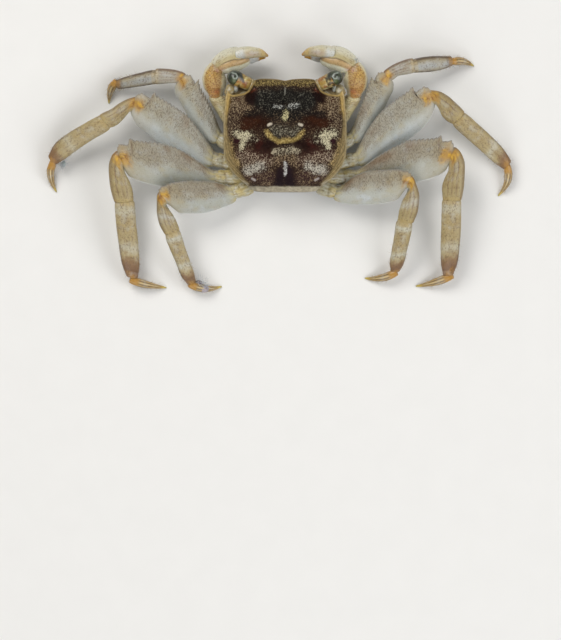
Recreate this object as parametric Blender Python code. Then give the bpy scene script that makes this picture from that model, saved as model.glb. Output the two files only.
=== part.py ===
"""Squarish mangrove crab specimen, resting on its belly with its legs spread.

Lengths and places are in millimetres in the crab's own frame, where x is to the crab's right,
y is forward and z is up from the surface that it rests on. The function placed turns them into
the scene's metres. There the crab faces -Y, with the middle of its flat tail plate at the
origin.
"""
import math

import bmesh
import bpy
from mathutils import Vector

MM = 0.001
REST_Y = -8.0  # middle of the flat tail plate
GAP = 0.3  # between two plates that meet
END_SHARE = 0.7  # size of the closing face of a piece beside its last section
JOINT_END = 0.1  # how far a piece is rounded off where it meets the next one

# Carapace: right half of each edge of the back, as (x, y, z)
FRONT_EDGE = [(0.0, 10.9, 9.7), (1.8, 11.2, 9.8), (4.0, 11.3, 9.8), (5.8, 11.1, 9.8), (6.4, 10.2, 9.6),
              (7.1, 9.1, 9.5), (8.8, 8.3, 9.4), (10.5, 8.1, 9.3), (11.5, 9.0, 9.2)]
SIDE_EDGE = [(11.5, 9.0, 9.2), (11.9, 7.6, 9.0), (12.0, 6.0, 8.9), (12.2, 4.3, 8.8), (12.3, 2.6, 8.7),
             (12.3, 0.6, 8.6), (12.3, -1.6, 8.5), (12.2, -3.8, 8.4), (11.5, -5.8, 8.2), (10.4, -7.4, 8.0),
             (9.1, -8.7, 7.8), (8.0, -9.6, 7.6)]
BACK_EDGE = [(0.0, -11.3, 7.4), (3.0, -11.3, 7.4), (6.0, -11.1, 7.4), (7.0, -10.4, 7.5), (8.0, -9.6, 7.6)]
DOME = 4.3
DOME_POWER = 4.0
DOME_EDGE = 0.8
RELIEF_FADE = 3.0  # how quickly the relief grows with the dome, from none at the edges
# Relief of the back: x, y, width, length, height. Each bump or hollow is made on both sides.
RELIEF = [(1.5, 6.3, 1.3, 1.2, 0.45), (4.6, 6.9, 1.4, 1.0, 0.4), (0.0, 6.6, 0.5, 2.2, -0.4),
          (3.0, 6.7, 0.4, 1.6, -0.25), (0.0, 1.2, 3.2, 2.2, 0.35), (0.0, -3.4, 2.2, 1.6, 0.3),
          (4.4, 1.0, 0.8, 2.2, -0.3), (8.3, -1.2, 2.6, 2.8, 0.35), (5.9, -5.8, 2.6, 1.8, 0.25),
          (8.6, 5.0, 1.8, 1.8, 0.3)]
# Lower walls: share of the outline's size, height at the back and sides, height at the front
WALLS = [(0.975, 7.6, 9.0), (0.86, 6.3, 7.9), (0.78, 4.4, 6.4)]
WALL_CENTRE_Y = -0.6
WALL_RISE_Y = 2.0  # the walls rise from here forward to the mouth
WALL_RISE_LENGTH = 7.0
ORBIT_X = 9.3
ORBIT_WIDTH = 1.5
ORBIT_FRONT_Y = 6.0
ORBIT_LEDGE = [0.0, 2.1, 0.6]  # how far the lower rim of the eye socket stands out on each wall
FLOOR_Z = 4.0
FLOOR_FRONT_Z = 6.1
MOUTH_BACK_Y = 1.8
MOUTH_FRONT_Y = 8.8
CHEEK = (5.9, 5.6, 2.0, 2.2, 1.0)  # x, y, width, length and depth of the bulge beside the mouth

# Underside plates, right half of each outline from front to back as (x, y)
STERNUM = [(0.0, 2.0), (2.4, 1.9), (3.6, 1.2), (5.4, -0.9), (7.6, -1.3), (8.9, -2.8), (9.1, -5.0),
           (8.6, -7.2), (7.6, -8.3), (6.6, -9.0), (5.8, -9.8), (0.0, -9.9)]
STERNUM_MIDDLE_Y = -4.5
STERNUM_TOP = 3.7
STERNUM_RINGS = [(0.5, 3.7), (1.0, 3.7), (1.0, 2.3), (0.84, 1.35), (0.5, 1.2)]  # share, height
# Tail plate along its middle line: y, middle height, half width. It is flat below, then folds up.
PLEON = [(-0.7, 0.45, 0.35), (-1.1, 0.42, 0.9), (-2.6, 0.42, 1.5), (-3.9, 0.42, 1.8),
         (-4.5, 0.42, 2.9), (-6.0, 0.42, 3.6), (-7.3, 0.42, 4.1), (-9.2, 0.42, 4.8),
         (-10.2, 0.42, 5.2), (-10.6, 0.85, 5.4), (-10.75, 2.2, 5.4), (-10.5, 5.4, 5.0)]
PLEON_FLAT_ROWS = 9
PLEON_THICKNESS = 0.84
PLEON_BEVEL = 0.2
MOUTHPART = [(0.5, 8.2), (1.6, 8.7), (2.7, 8.2), (3.3, 6.9), (3.4, 5.2), (3.0, 3.6), (2.0, 2.5),
             (1.0, 2.5), (0.5, 3.4), (1.3, 4.9), (1.5, 5.9), (1.1, 7.0)]
MOUTHPART_MIDDLE = (2.1, 5.5)
MOUTHPART_RINGS = [(0.85, 0.0), (1.0, 0.3), (0.95, 0.75), (0.7, 1.0)]  # share, depth
MOUTHPART_DROP = 0.25

EYE_CENTRE = (10.0, 11.5, 9.2)
EYE_RADIUS = 1.5
EYE_STRETCH = 1.06
STALK_BASE = (7.0, 10.15, 8.1)
STALK_RADII = [0.9, 1.2, 1.3, 1.3]

# Claws, right side. A band is a list of (outer edge, inner edge, thickness), edges as (x, y, z).
CLAW_BASE = [((8.3, -0.4, 2.2), (6.6, 1.6, 2.2), 1.9), ((10.0, 0.9, 2.5), (7.8, 2.9, 2.4), 2.3),
             ((11.6, 2.5, 3.0), (9.4, 4.1, 2.7), 2.4)]
CLAW_MERUS = [((12.4, 2.9, 3.8), (9.9, 4.6, 3.0), 2.8), ((13.4, 4.5, 4.3), (10.6, 6.1, 3.4), 3.4),
              ((14.4, 6.0, 4.9), (11.2, 7.2, 4.1), 3.6), ((15.1, 7.4, 5.3), (12.0, 8.0, 4.7), 3.0)]
CLAW_WRIST = [((15.4, 8.4, 5.4), (12.4, 9.0, 5.0), 2.9), ((16.2, 9.7, 5.6), (11.9, 10.0, 4.9), 4.4),
              ((16.5, 11.5, 5.9), (11.8, 11.0, 4.8), 5.0), ((16.0, 13.2, 6.0), (11.9, 11.9, 4.8), 4.8),
              ((15.0, 14.5, 6.2), (12.2, 12.5, 4.9), 3.8)]
CLAW_PALM = [((14.4, 15.1, 6.2), (11.8, 13.1, 4.2), 4.2), ((13.2, 16.2, 6.4), (11.2, 13.0, 4.0), 5.4),
             ((11.8, 17.0, 6.5), (10.7, 13.4, 3.9), 5.8), ((10.3, 17.4, 6.5), (9.8, 13.8, 3.7), 5.6),
             ((9.1, 17.5, 6.3), (8.9, 14.5, 3.6), 5.0), ((8.3, 16.1, 4.0), (8.0, 15.0, 3.0), 2.4),
             ((6.6, 16.2, 3.7), (6.4, 15.3, 3.1), 1.8), ((5.0, 16.3, 4.2), (4.9, 15.6, 3.8), 1.2),
             ((4.1, 16.0, 4.9), (4.0, 15.7, 4.8), 0.4)]
CLAW_FINGER = [((8.6, 17.7, 7.4), (8.0, 16.4, 6.6), 1.9), ((7.0, 17.8, 7.7), (6.6, 16.3, 6.8), 2.1),
               ((5.2, 17.6, 7.1), (5.0, 16.2, 6.4), 1.6), ((4.1, 16.9, 6.3), (4.1, 16.0, 5.9), 1.0),
               ((3.4, 16.1, 5.4), (3.5, 15.8, 5.3), 0.35)]
LEFT_CLAW_TURN_Y = 11.0  # the left claw reaches less far forward than the right one
LEFT_CLAW_REACH = 0.96

# Legs, front to back. Edges run outwards along each piece as (x, y). The front edge of a merus
# ends in a spine, a notch and a tooth. A carpus or propodus is given by points of its outer and
# inner edge in turn. Heights are of the merus base, knee, wrist and ankle.
LEGS = {
    "leg_1_left": dict(
        hip=(-9.9, -2.4), heights=(3.7, 5.8, 5.6, 2.3),
        front=[(-12.9, 1.1), (-14.6, 4.8), (-15.6, 6.7), (-17.0, 9.1), (-17.6, 10.8), (-17.9, 10.2),
               (-19.2, 12.0)],
        rear=[(-14.1, -1.4), (-16.3, 0.2), (-18.7, 3.1), (-21.1, 7.2), (-22.0, 9.2)],
        carpus=[(-19.9, 12.4), (-21.6, 10.6), (-21.5, 13.1), (-22.7, 10.6), (-23.3, 13.4), (-24.1, 10.5),
                (-25.4, 13.5), (-25.5, 10.4)],
        propodus=[(-26.3, 13.2), (-26.2, 10.4), (-29.0, 12.7), (-28.5, 10.1), (-31.1, 12.2), (-30.9, 9.8),
                  (-33.4, 11.5), (-33.2, 9.6)],
        dactylus=[(-34.3, 10.5), (-35.1, 9.0), (-35.4, 6.8)]),
    "leg_2_left": dict(
        hip=(-9.9, -5.5), heights=(4.0, 7.2, 6.6, 2.4),
        front=[(-14.3, -2.8), (-17.5, 1.4), (-19.9, 4.1), (-22.3, 5.7), (-24.8, 7.2), (-26.3, 8.1),
               (-26.7, 7.3), (-28.8, 8.2)],
        rear=[(-15.1, -6.1), (-20.0, -3.9), (-24.8, -1.5), (-27.2, 0.2), (-29.6, 2.1), (-30.5, 3.7)],
        carpus=[(-29.6, 7.8), (-30.8, 4.9), (-31.2, 7.4), (-31.6, 4.2), (-32.9, 6.6), (-32.6, 3.1),
                (-34.8, 5.3), (-33.6, 2.2), (-36.7, 4.4), (-34.5, 1.8)],
        propodus=[(-37.4, 3.9), (-35.3, 1.2), (-40.8, 2.1), (-38.6, -0.7), (-44.0, 0.2), (-41.9, -2.9),
                  (-46.2, -1.6), (-44.3, -4.6), (-47.3, -3.5), (-45.8, -5.5)],
        dactylus=[(-46.8, -5.9), (-47.0, -8.2), (-46.0, -11.0)]),
    "leg_3_left": dict(
        hip=(-9.2, -8.3), heights=(4.5, 8.2, 7.0, 2.4),
        front=[(-14.6, -6.8), (-17.5, -5.0), (-19.9, -3.5), (-23.6, -2.0), (-27.2, -1.5), (-30.9, -1.1),
               (-31.0, -2.0), (-33.1, -2.1)],
        rear=[(-14.0, -9.4), (-19.0, -10.1), (-23.8, -10.3), (-28.4, -9.3), (-30.6, -8.4)],
        carpus=[(-33.5, -3.1), (-32.2, -6.1), (-34.7, -4.3), (-31.9, -7.4), (-35.2, -6.5), (-31.0, -9.2),
                (-35.0, -9.5), (-30.5, -10.8), (-34.2, -12.9), (-30.3, -12.6)],
        propodus=[(-34.0, -13.8), (-30.1, -13.5), (-33.8, -17.3), (-29.8, -17.5), (-33.3, -21.4),
                  (-29.4, -21.6), (-32.7, -25.4), (-29.2, -25.8), (-31.9, -27.7), (-29.5, -28.0)],
        dactylus=[(-30.2, -29.0), (-27.2, -29.8), (-23.9, -30.3)]),
    "leg_4_left": dict(
        hip=(-7.4, -10.2), heights=(4.7, 8.6, 7.0, 2.4),
        front=[(-11.4, -9.9), (-14.3, -9.2), (-18.4, -9.1), (-22.3, -9.5), (-24.7, -10.6)],
        rear=[(-9.9, -12.8), (-11.8, -13.8), (-14.5, -15.0), (-18.0, -15.5), (-21.2, -15.4), (-23.3, -13.7)],
        carpus=[(-25.2, -11.3), (-23.9, -14.0), (-25.6, -12.9), (-23.1, -14.8), (-25.6, -14.9),
                (-22.3, -15.9), (-25.2, -17.3), (-21.6, -17.3), (-24.2, -19.4), (-21.2, -18.4)],
        propodus=[(-23.8, -20.3), (-20.9, -19.3), (-23.1, -22.4), (-20.1, -21.9), (-21.9, -25.2),
                  (-19.1, -24.8), (-20.7, -28.2), (-18.2, -27.6), (-19.8, -29.3), (-18.0, -28.7)],
        dactylus=[(-18.4, -29.9), (-15.7, -30.5), (-12.8, -30.1)]),
    "leg_1_right": dict(
        hip=(9.9, -2.4), heights=(3.7, 5.8, 5.6, 2.3),
        front=[(13.2, 1.2), (15.1, 5.2), (16.3, 8.2), (17.5, 11.4), (17.8, 10.7), (18.9, 12.5)],
        rear=[(14.2, -1.3), (16.6, 0.9), (19.0, 4.3), (20.6, 7.3), (21.7, 9.8)],
        carpus=[(19.7, 12.8), (21.3, 11.1), (21.2, 14.0), (22.6, 12.0), (23.1, 14.9), (23.9, 12.3),
                (25.1, 15.5), (25.5, 12.6)],
        propodus=[(25.9, 15.4), (26.3, 12.7), (28.2, 15.9), (28.4, 12.9), (30.7, 16.1), (30.8, 13.3),
                  (33.0, 16.1), (33.1, 14.1)],
        dactylus=[(34.0, 15.1), (36.0, 15.1), (37.9, 14.3)]),
    "leg_2_right": dict(
        hip=(9.9, -5.5), heights=(4.0, 7.2, 6.6, 2.4),
        front=[(14.3, -2.8), (16.7, 1.3), (19.0, 4.3), (21.3, 6.3), (23.6, 7.9), (25.6, 9.3),
               (25.7, 8.4), (28.0, 9.5)],
        rear=[(15.2, -6.0), (19.5, -3.8), (23.9, -1.2), (27.1, 1.3), (29.2, 3.6), (29.7, 5.2)],
        carpus=[(28.9, 9.1), (30.0, 6.3), (30.6, 8.9), (30.8, 5.2), (32.3, 8.1), (31.6, 3.7),
                (34.1, 6.6), (32.7, 2.8), (35.6, 5.1), (33.3, 2.5)],
        propodus=[(36.3, 4.3), (33.9, 1.8), (38.6, 2.4), (36.5, -0.5), (41.2, 0.1), (39.4, -3.0),
                  (43.5, -2.2), (41.9, -5.2), (45.2, -4.6), (43.6, -6.3)],
        dactylus=[(44.7, -6.6), (44.6, -9.2), (42.9, -11.8)]),
    "leg_3_right": dict(
        hip=(9.2, -8.3), heights=(4.5, 8.2, 7.0, 2.4),
        front=[(14.6, -6.7), (18.5, -4.2), (22.3, -2.2), (24.9, -1.1), (28.7, -0.9), (31.0, -0.5),
               (31.1, -1.3), (33.2, -1.4)],
        rear=[(14.0, -9.2), (20.0, -9.9), (25.9, -9.4), (30.0, -8.2), (31.4, -7.5)],
        carpus=[(33.7, -2.3), (32.7, -5.4), (35.2, -3.6), (32.6, -6.9), (35.9, -6.0), (31.9, -8.4),
                (35.8, -9.3), (31.4, -10.3), (35.3, -12.5), (31.5, -12.4)],
        propodus=[(35.2, -13.4), (31.4, -13.3), (35.2, -17.5), (31.3, -17.5), (35.0, -21.5),
                  (31.2, -21.6), (34.6, -25.2), (31.3, -25.4), (33.9, -27.3), (31.7, -27.4)],
        dactylus=[(32.8, -28.2), (29.8, -29.3), (26.4, -30.0)]),
    "leg_4_right": dict(
        hip=(7.4, -10.2), heights=(4.7, 8.6, 7.0, 2.4),
        front=[(11.0, -9.9), (13.9, -8.0), (17.2, -7.1), (22.3, -6.9), (24.6, -7.5)],
        rear=[(9.9, -12.6), (14.1, -13.7), (18.5, -13.5), (22.4, -12.8), (24.1, -10.6)],
        carpus=[(25.2, -8.0), (24.8, -10.7), (26.2, -9.7), (24.1, -11.8), (26.8, -12.2), (23.3, -13.3),
                (26.6, -14.7), (22.8, -15.0), (25.8, -17.0), (22.6, -16.5)],
        propodus=[(25.4, -18.0), (22.2, -17.5), (25.0, -20.4), (21.8, -20.4), (24.4, -23.0),
                  (21.3, -23.2), (23.9, -25.2), (21.0, -25.6), (23.2, -26.6), (21.2, -26.6)],
        dactylus=[(21.6, -27.6), (19.0, -28.4), (16.1, -28.4)]),
}
MERUS_THICKNESS = (2.1, 0.75)  # at its ends, and how much more in the middle
MERUS_TILT = math.radians(26)
HIP_WIDTHS = [2.0, 2.5, 2.5]
HIP_HEIGHT = 2.3
HIP_DROP = 0.6  # the inner end of a hip lies this far below the merus base
HIP_END = 0.65  # rounded ends of a hip and its merus, between which the gap is left
CARPUS_LIFT = 0.1
CARPUS_THICKNESS = [1.9, 2.3, 2.5, 2.5, 2.2]
PROPODUS_DROP = 0.2
PROPODUS_THICKNESS = [2.2, 2.3, 2.1, 1.9, 1.7]
SHIN_TILT = math.radians(12)
DACTYLUS_DROP = 0.3
DACTYLUS_ARCH = 0.15  # how far the middle of a dactylus bows up
DACTYLUS_POINTS = 6
DACTYLUS_WIDTHS = [1.6, 1.65, 1.5, 1.15, 0.75, 0.25]
DACTYLUS_HEIGHTS = [1.6, 1.5, 1.35, 1.05, 0.65, 0.2]
TIP_Z = 0.14
# Points round a section, and how square it is (2 is an ellipse)
COARSE, MIDDLING, FINE = 10, 12, 14
ROUNDISH = 2.2
MERUS_POWER = 1.9

UP = Vector((0, 0, 1))


def material(name, colour, roughness, metallic=0.0):
    """A Principled material of one colour."""
    made = bpy.data.materials.get(name) or bpy.data.materials.new(name)
    made.use_nodes = True
    shader = made.node_tree.nodes["Principled BSDF"]
    shader.inputs["Base Color"].default_value = (*colour, 1.0)
    shader.inputs["Roughness"].default_value = roughness
    shader.inputs["Metallic"].default_value = metallic
    return made


def placed(point):
    """A place in the crab's frame as metres in the scene, where the crab faces -Y."""
    x, y, z = point
    return Vector((-x, REST_Y - y, z)) * MM


def add_object(name, points, faces, look, parent, sharp=math.radians(40)):
    """One closed piece, with its origin at its middle."""
    places = [placed(point) for point in points]
    middle = sum(places, Vector()) / len(places)
    mesh = bpy.data.meshes.new(name)
    mesh.from_pydata([place - middle for place in places], [], faces)
    turned = bmesh.new()
    turned.from_mesh(mesh)
    bmesh.ops.recalc_face_normals(turned, faces=turned.faces)
    turned.to_mesh(mesh)
    turned.free()
    mesh.shade_smooth()
    mesh.set_sharp_from_angle(angle=sharp)
    mesh.materials.append(look)
    piece = bpy.data.objects.new(name, mesh)
    piece.location = middle
    piece.parent = parent
    bpy.context.scene.collection.objects.link(piece)
    return piece


def sided(side, point):
    """The point for the right side (1), or its mirror image for the left side (-1)."""
    return Vector((side * point[0], *point[1:]))


def section(outer, inner, thickness, along, count, power):
    """A ring from the outer edge point round to the inner one, flattened like a blade."""
    across = (outer - inner) / 2
    normal = across.cross(along).normalized()
    if normal.z < 0:
        normal.negate()
    ring = []
    for step in range(count):
        turn = 2 * math.pi * step / count
        wide = math.copysign(abs(math.cos(turn)) ** (2 / power), math.cos(turn))
        high = math.copysign(abs(math.sin(turn)) ** (2 / power), math.sin(turn))
        ring.append((outer + inner) / 2 + across * wide + normal * high * thickness / 2)
    return ring


def shrunk(ring, share, shift):
    """A smaller copy of a ring, moved by shift, that rounds off an end."""
    middle = sum(ring, Vector()) / len(ring)
    return [middle + (point - middle) * share + shift for point in ring]


def skin(rings):
    """Faces of a tube through the rings, closed at both ends."""
    count = len(rings[0])
    faces = [[start * count + k, start * count + (k + 1) % count,
              (start + 1) * count + (k + 1) % count, (start + 1) * count + k]
             for start in range(len(rings) - 1) for k in range(count)]
    last = (len(rings) - 1) * count
    return faces + [list(range(count))[::-1], [last + k for k in range(count)]]


def add_tube(name, rings, look, parent):
    """A closed piece through rings of points."""
    points = [point for ring in rings for point in ring]
    return add_object(name, points, skin(rings), look, parent)


def add_band(name, band, look, parent, count=MIDDLING, power=ROUNDISH, ends=(0.3, 0.3)):
    """A piece through sections of (outer edge, inner edge, thickness), its ends rounded by ends."""
    middles = [(outer + inner) / 2 for outer, inner, _ in band]
    rings = []
    for k, (outer, inner, thickness) in enumerate(band):
        along = middles[min(k + 1, len(band) - 1)] - middles[max(k - 1, 0)]
        rings.append(section(outer, inner, thickness, along, count, power))
    start = (middles[0] - middles[1]).normalized() * ends[0]
    end = (middles[-1] - middles[-2]).normalized() * ends[1]
    rings = [shrunk(rings[0], END_SHARE, start), *rings, shrunk(rings[-1], END_SHARE, end)]
    return add_tube(name, rings, look, parent)


def add_rod(name, points, widths, heights, look, parent, count=8, ends=(0.2, 0.2)):
    """A piece along a line of points, of the given width across and height at each of them."""
    band = []
    for k, point in enumerate(points):
        along = points[min(k + 1, len(points) - 1)] - points[max(k - 1, 0)]
        across = along.cross(UP).normalized() * widths[k] / 2
        band.append((point + across, point - across, heights[k]))
    return add_band(name, band, look, parent, count, ROUNDISH, ends)


def both_halves(half):
    """A whole edge from left to right, from its right half, which starts on the middle line."""
    left = [sided(-1, point) for point in reversed(half[1:])]
    return left + [Vector(point) for point in half]


def relief(x, y):
    """Height of the lobes and grooves of the back above its smooth dome."""
    total = 0.0
    for centre_x, centre_y, wide, long, height in RELIEF:
        for side in (1, -1) if centre_x else (1,):
            total += height * math.exp(-((x - side * centre_x) / wide) ** 2 - ((y - centre_y) / long) ** 2)
    return total


def back_edge_point(x):
    """The point of the rear edge at a distance from the middle line."""
    k = next(k for k in range(1, len(BACK_EDGE)) if abs(x) <= BACK_EDGE[k][0] + 1e-9)
    part = (abs(x) - BACK_EDGE[k - 1][0]) / (BACK_EDGE[k][0] - BACK_EDGE[k - 1][0])
    found = Vector(BACK_EDGE[k - 1]).lerp(Vector(BACK_EDGE[k]), part)
    return Vector((x, found.y, found.z))


def back_grid():
    """The back's points, row by row from front to rear: a patch spread between its four edges."""
    front = both_halves(FRONT_EDGE)
    widest, corner = FRONT_EDGE[-1][0], BACK_EDGE[-1][0]
    back = [back_edge_point(point.x * corner / widest) for point in front]
    right = [Vector(point) for point in SIDE_EDGE]
    left = [sided(-1, point) for point in SIDE_EDGE]
    grid = []
    for west, east in zip(left, right):
        down = (right[0].y - east.y) / (right[0].y - right[-1].y)
        line = []
        for ahead, behind in zip(front, back):
            over = (ahead.x / widest + 1) / 2
            corners = left[0].lerp(right[0], over).lerp(left[-1].lerp(right[-1], over), down)
            spot = ahead.lerp(behind, down) + west.lerp(east, over) - corners
            rise = (1 - abs(2 * over - 1) ** DOME_POWER) * (1 - abs(2 * down - 1) ** DOME_POWER)
            rise = max(rise, 0.0)
            spot.z += DOME * rise ** DOME_EDGE + relief(spot.x, spot.y) * min(1.0, RELIEF_FADE * rise)
            line.append(spot)
        grid.append(line)
    return grid


def grid_rim(rows, columns):
    """Row and column of each point round a grid's edge, once round."""
    top = [(0, k) for k in range(columns - 1)]
    right = [(k, columns - 1) for k in range(rows - 1)]
    bottom = [(rows - 1, k) for k in range(columns - 1, 0, -1)]
    return top + right + bottom + [(k, 0) for k in range(rows - 1, 0, -1)]


def walled(point, level):
    """A point of the back moved in and down onto a lower wall."""
    share, rear_z, front_z = WALLS[level]
    x, y = point.x * share, (point.y - WALL_CENTRE_Y) * share + WALL_CENTRE_Y
    forward = min(max((y - WALL_RISE_Y) / WALL_RISE_LENGTH, 0.0), 1.0)
    if y > ORBIT_FRONT_Y:
        y += ORBIT_LEDGE[level] * math.exp(-((abs(point.x) - ORBIT_X) / ORBIT_WIDTH) ** 2)
    return Vector((x, y, rear_z + (front_z - rear_z) * forward))


def mouth_floor_z(y):
    """Height of the lower face, which rises towards the mouth."""
    rise = min(max((y - MOUTH_BACK_Y) / (MOUTH_FRONT_Y - MOUTH_BACK_Y), 0.0), 1.0)
    return FLOOR_Z + (FLOOR_FRONT_Z - FLOOR_Z) * rise


def floor_z(x, y):
    """Height of the carapace's lower face, with its bulging cheeks."""
    cheek_x, cheek_y, wide, long, deep = CHEEK
    bulge = math.exp(-((abs(x) - cheek_x) / wide) ** 2 - ((y - cheek_y) / long) ** 2)
    return mouth_floor_z(y) - deep * bulge


def add_carapace(look, parent):
    """The shell of the back, folded under at its sides and front."""
    top = back_grid()
    rows, columns = len(top), len(top[0])
    rim = grid_rim(rows, columns)
    points = [spot for line in top for spot in line]
    faces = [[r * columns + c, r * columns + c + 1, (r + 1) * columns + c + 1, (r + 1) * columns + c]
             for r in range(rows - 1) for c in range(columns - 1)]
    loops = [[r * columns + c for r, c in rim]]
    for level in range(len(WALLS) - 1):
        loops.append(list(range(len(points), len(points) + len(rim))))
        points += [walled(top[r][c], level) for r, c in rim]
    below = len(points)
    for r in range(rows):
        for c in range(columns):
            spot = walled(top[r][c], len(WALLS) - 1)
            if 0 < r < rows - 1 and 0 < c < columns - 1:
                spot.z = floor_z(spot.x, spot.y)
            points.append(spot)
    faces += [[below + k for k in face][::-1] for face in faces]
    loops.append([below + r * columns + c for r, c in rim])
    for upper, lower in zip(loops, loops[1:]):
        faces += [[upper[k], lower[k], lower[(k + 1) % len(rim)], upper[(k + 1) % len(rim)]]
                  for k in range(len(rim))]
    return add_object("carapace", points, faces, look, parent, math.radians(50))


def add_sternum(look, parent):
    """The breast plate: flat on top, with a sloping edge below."""
    outline = [Vector(point) for point in STERNUM] + [sided(-1, point) for point in reversed(STERNUM[1:-1])]
    middle = Vector((0, STERNUM_MIDDLE_Y))
    rings = [[Vector((*(middle + (point - middle) * share), z)) for point in outline]
             for share, z in STERNUM_RINGS]
    return add_tube("sternum", rings, look, parent)


def add_pleon(look, parent):
    """The folded tail plate, flat below, which the crab rests on, with its rear part turned up."""
    line = [Vector((y, z)) for y, z, _ in PLEON]
    rings = []
    for k, (_, _, half_width) in enumerate(PLEON):
        along = (line[min(k + 1, len(line) - 1)] - line[max(k - 1, 0)]).normalized()
        if k < PLEON_FLAT_ROWS:
            along = Vector((-1, 0))
        top = Vector((along.y, -along.x))
        half, bevel = PLEON_THICKNESS / 2, min(PLEON_BEVEL, half_width / 2)
        ring = []
        for x, lift in ((-1, -half + bevel), (-1 + bevel / half_width, -half), (1 - bevel / half_width, -half),
                        (1, -half + bevel), (1, half - bevel), (1 - bevel / half_width, half),
                        (-1 + bevel / half_width, half), (-1, half - bevel)):
            spot = line[k] + top * lift
            ring.append(Vector((x * half_width, spot.x, spot.y)))
        rings.append(ring)
    return add_tube("pleon", rings, look, parent)


def add_mouthpart(name, side, look, parent):
    """One of the two plates that close the mouth, on the sloping lower face of the carapace."""
    middle = Vector(MOUTHPART_MIDDLE)
    rings = []
    for share, depth in MOUTHPART_RINGS:
        spots = [middle + (Vector(point) - middle) * share for point in MOUTHPART]
        rings.append([sided(side, (*spot, mouth_floor_z(spot.y) - MOUTHPART_DROP - GAP - depth))
                      for spot in spots])
    return add_tube(name, rings, look, parent)


def add_eye(name, side, look, parent):
    """The cornea, a slightly long ball on the end of its stalk."""
    centre = sided(side, EYE_CENTRE)
    turn = UP.rotation_difference(centre - sided(side, STALK_BASE))
    ball = bmesh.new()
    bmesh.ops.create_uvsphere(ball, u_segments=12, v_segments=8, radius=EYE_RADIUS)
    points = []
    for vert in ball.verts:
        spot = Vector((vert.co.x, vert.co.y, vert.co.z * EYE_STRETCH))
        spot.rotate(turn)
        points.append(spot + centre)
    faces = [[vert.index for vert in face.verts] for face in ball.faces]
    ball.free()
    return add_object(name, points, faces, look, parent)


def add_eyestalk(name, side, look, parent):
    """The stalk, from under the front edge to the cornea."""
    base, centre = sided(side, STALK_BASE), sided(side, EYE_CENTRE)
    end = centre + (base - centre).normalized() * (EYE_RADIUS * EYE_STRETCH + GAP)
    last = len(STALK_RADII) - 1
    points = [base.lerp(end, k / last) for k in range(last + 1)]
    sizes = [2 * radius for radius in STALK_RADII]
    return add_rod(name, points, sizes, sizes, look, parent, COARSE, (0.2, 0.02))


def claw_band(side, rows):
    """The sections of a claw piece on one side. The left claw reaches less far forward."""
    band = []
    for outer, inner, thickness in rows:
        edges = [sided(side, outer), sided(side, inner)]
        for edge in edges:
            if side < 0 and edge.y > LEFT_CLAW_TURN_Y:
                edge.y = LEFT_CLAW_TURN_Y + (edge.y - LEFT_CLAW_TURN_Y) * LEFT_CLAW_REACH
        band.append((*edges, thickness))
    return band


def add_claw(name, side, looks, parent):
    """One claw from its base to its movable finger."""
    add_band(f"{name}_base", claw_band(side, CLAW_BASE), looks["underside"], parent, COARSE)
    add_band(f"{name}_merus", claw_band(side, CLAW_MERUS), looks["claw"], parent, MIDDLING, ROUNDISH,
             (0.3, JOINT_END))
    add_band(f"{name}_wrist", claw_band(side, CLAW_WRIST), looks["wrist"], parent, FINE, ROUNDISH,
             (JOINT_END, JOINT_END))
    add_band(f"{name}_palm", claw_band(side, CLAW_PALM), looks["claw"], parent, FINE, ROUNDISH,
             (JOINT_END, 0.15))
    add_band(f"{name}_finger", claw_band(side, CLAW_FINGER), looks["claw"], parent, MIDDLING, ROUNDISH,
             (JOINT_END, 0.2))


def at_share(line, share):
    """The place at a share of a polyline's reach along the line from its first to its last point."""
    first, reach = line[0], line[-1] - line[0]
    shares = [(point - first).dot(reach) / reach.length_squared for point in line]
    k = next((k for k in range(len(line) - 1) if share <= shares[k + 1]), len(line) - 2)
    return line[k].lerp(line[k + 1], (share - shares[k]) / (shares[k + 1] - shares[k]))


def merus_band(leg):
    """Sections of the broad flat upper leg, its front edge raised and toothed."""
    front = [Vector(point) for point in leg["front"]]
    rear = [Vector(point) for point in leg["rear"]]
    reach = front[-1] - front[0]
    base_z, knee_z = leg["heights"][:2]
    band = []
    for point in front:
        share = (point - front[0]).dot(reach) / reach.length_squared
        across = at_share(rear, share)
        z = base_z + (knee_z - base_z) * share
        rise = (point - across).length / 2 * math.tan(MERUS_TILT)
        thickness = MERUS_THICKNESS[0] + MERUS_THICKNESS[1] * math.sin(math.pi * share)
        band.append((Vector((*point, z + rise)), Vector((*across, z - rise)), thickness))
    return band


def shin_band(edges, start_z, end_z, thicknesses):
    """Sections of a lower leg piece between its outer and inner edge points, given in turn."""
    pairs = [(Vector(edges[k]), Vector(edges[k + 1])) for k in range(0, len(edges), 2)]
    band = []
    for k, (outer, inner) in enumerate(pairs):
        share = k / (len(pairs) - 1)
        z = start_z + (end_z - start_z) * share
        rise = (outer - inner).length / 2 * math.tan(SHIN_TILT)
        thickness = thicknesses[round(share * (len(thicknesses) - 1))]
        band.append((Vector((*outer, z + rise)), Vector((*inner, z - rise)), thickness))
    return band


def through(start, middle, end, count):
    """Points along a quadratic curve from start through middle to end."""
    control = middle * 2 - (start + end) / 2
    shares = [k / (count - 1) for k in range(count)]
    return [start * (1 - s) ** 2 + control * 2 * s * (1 - s) + end * s ** 2 for s in shares]


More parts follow.
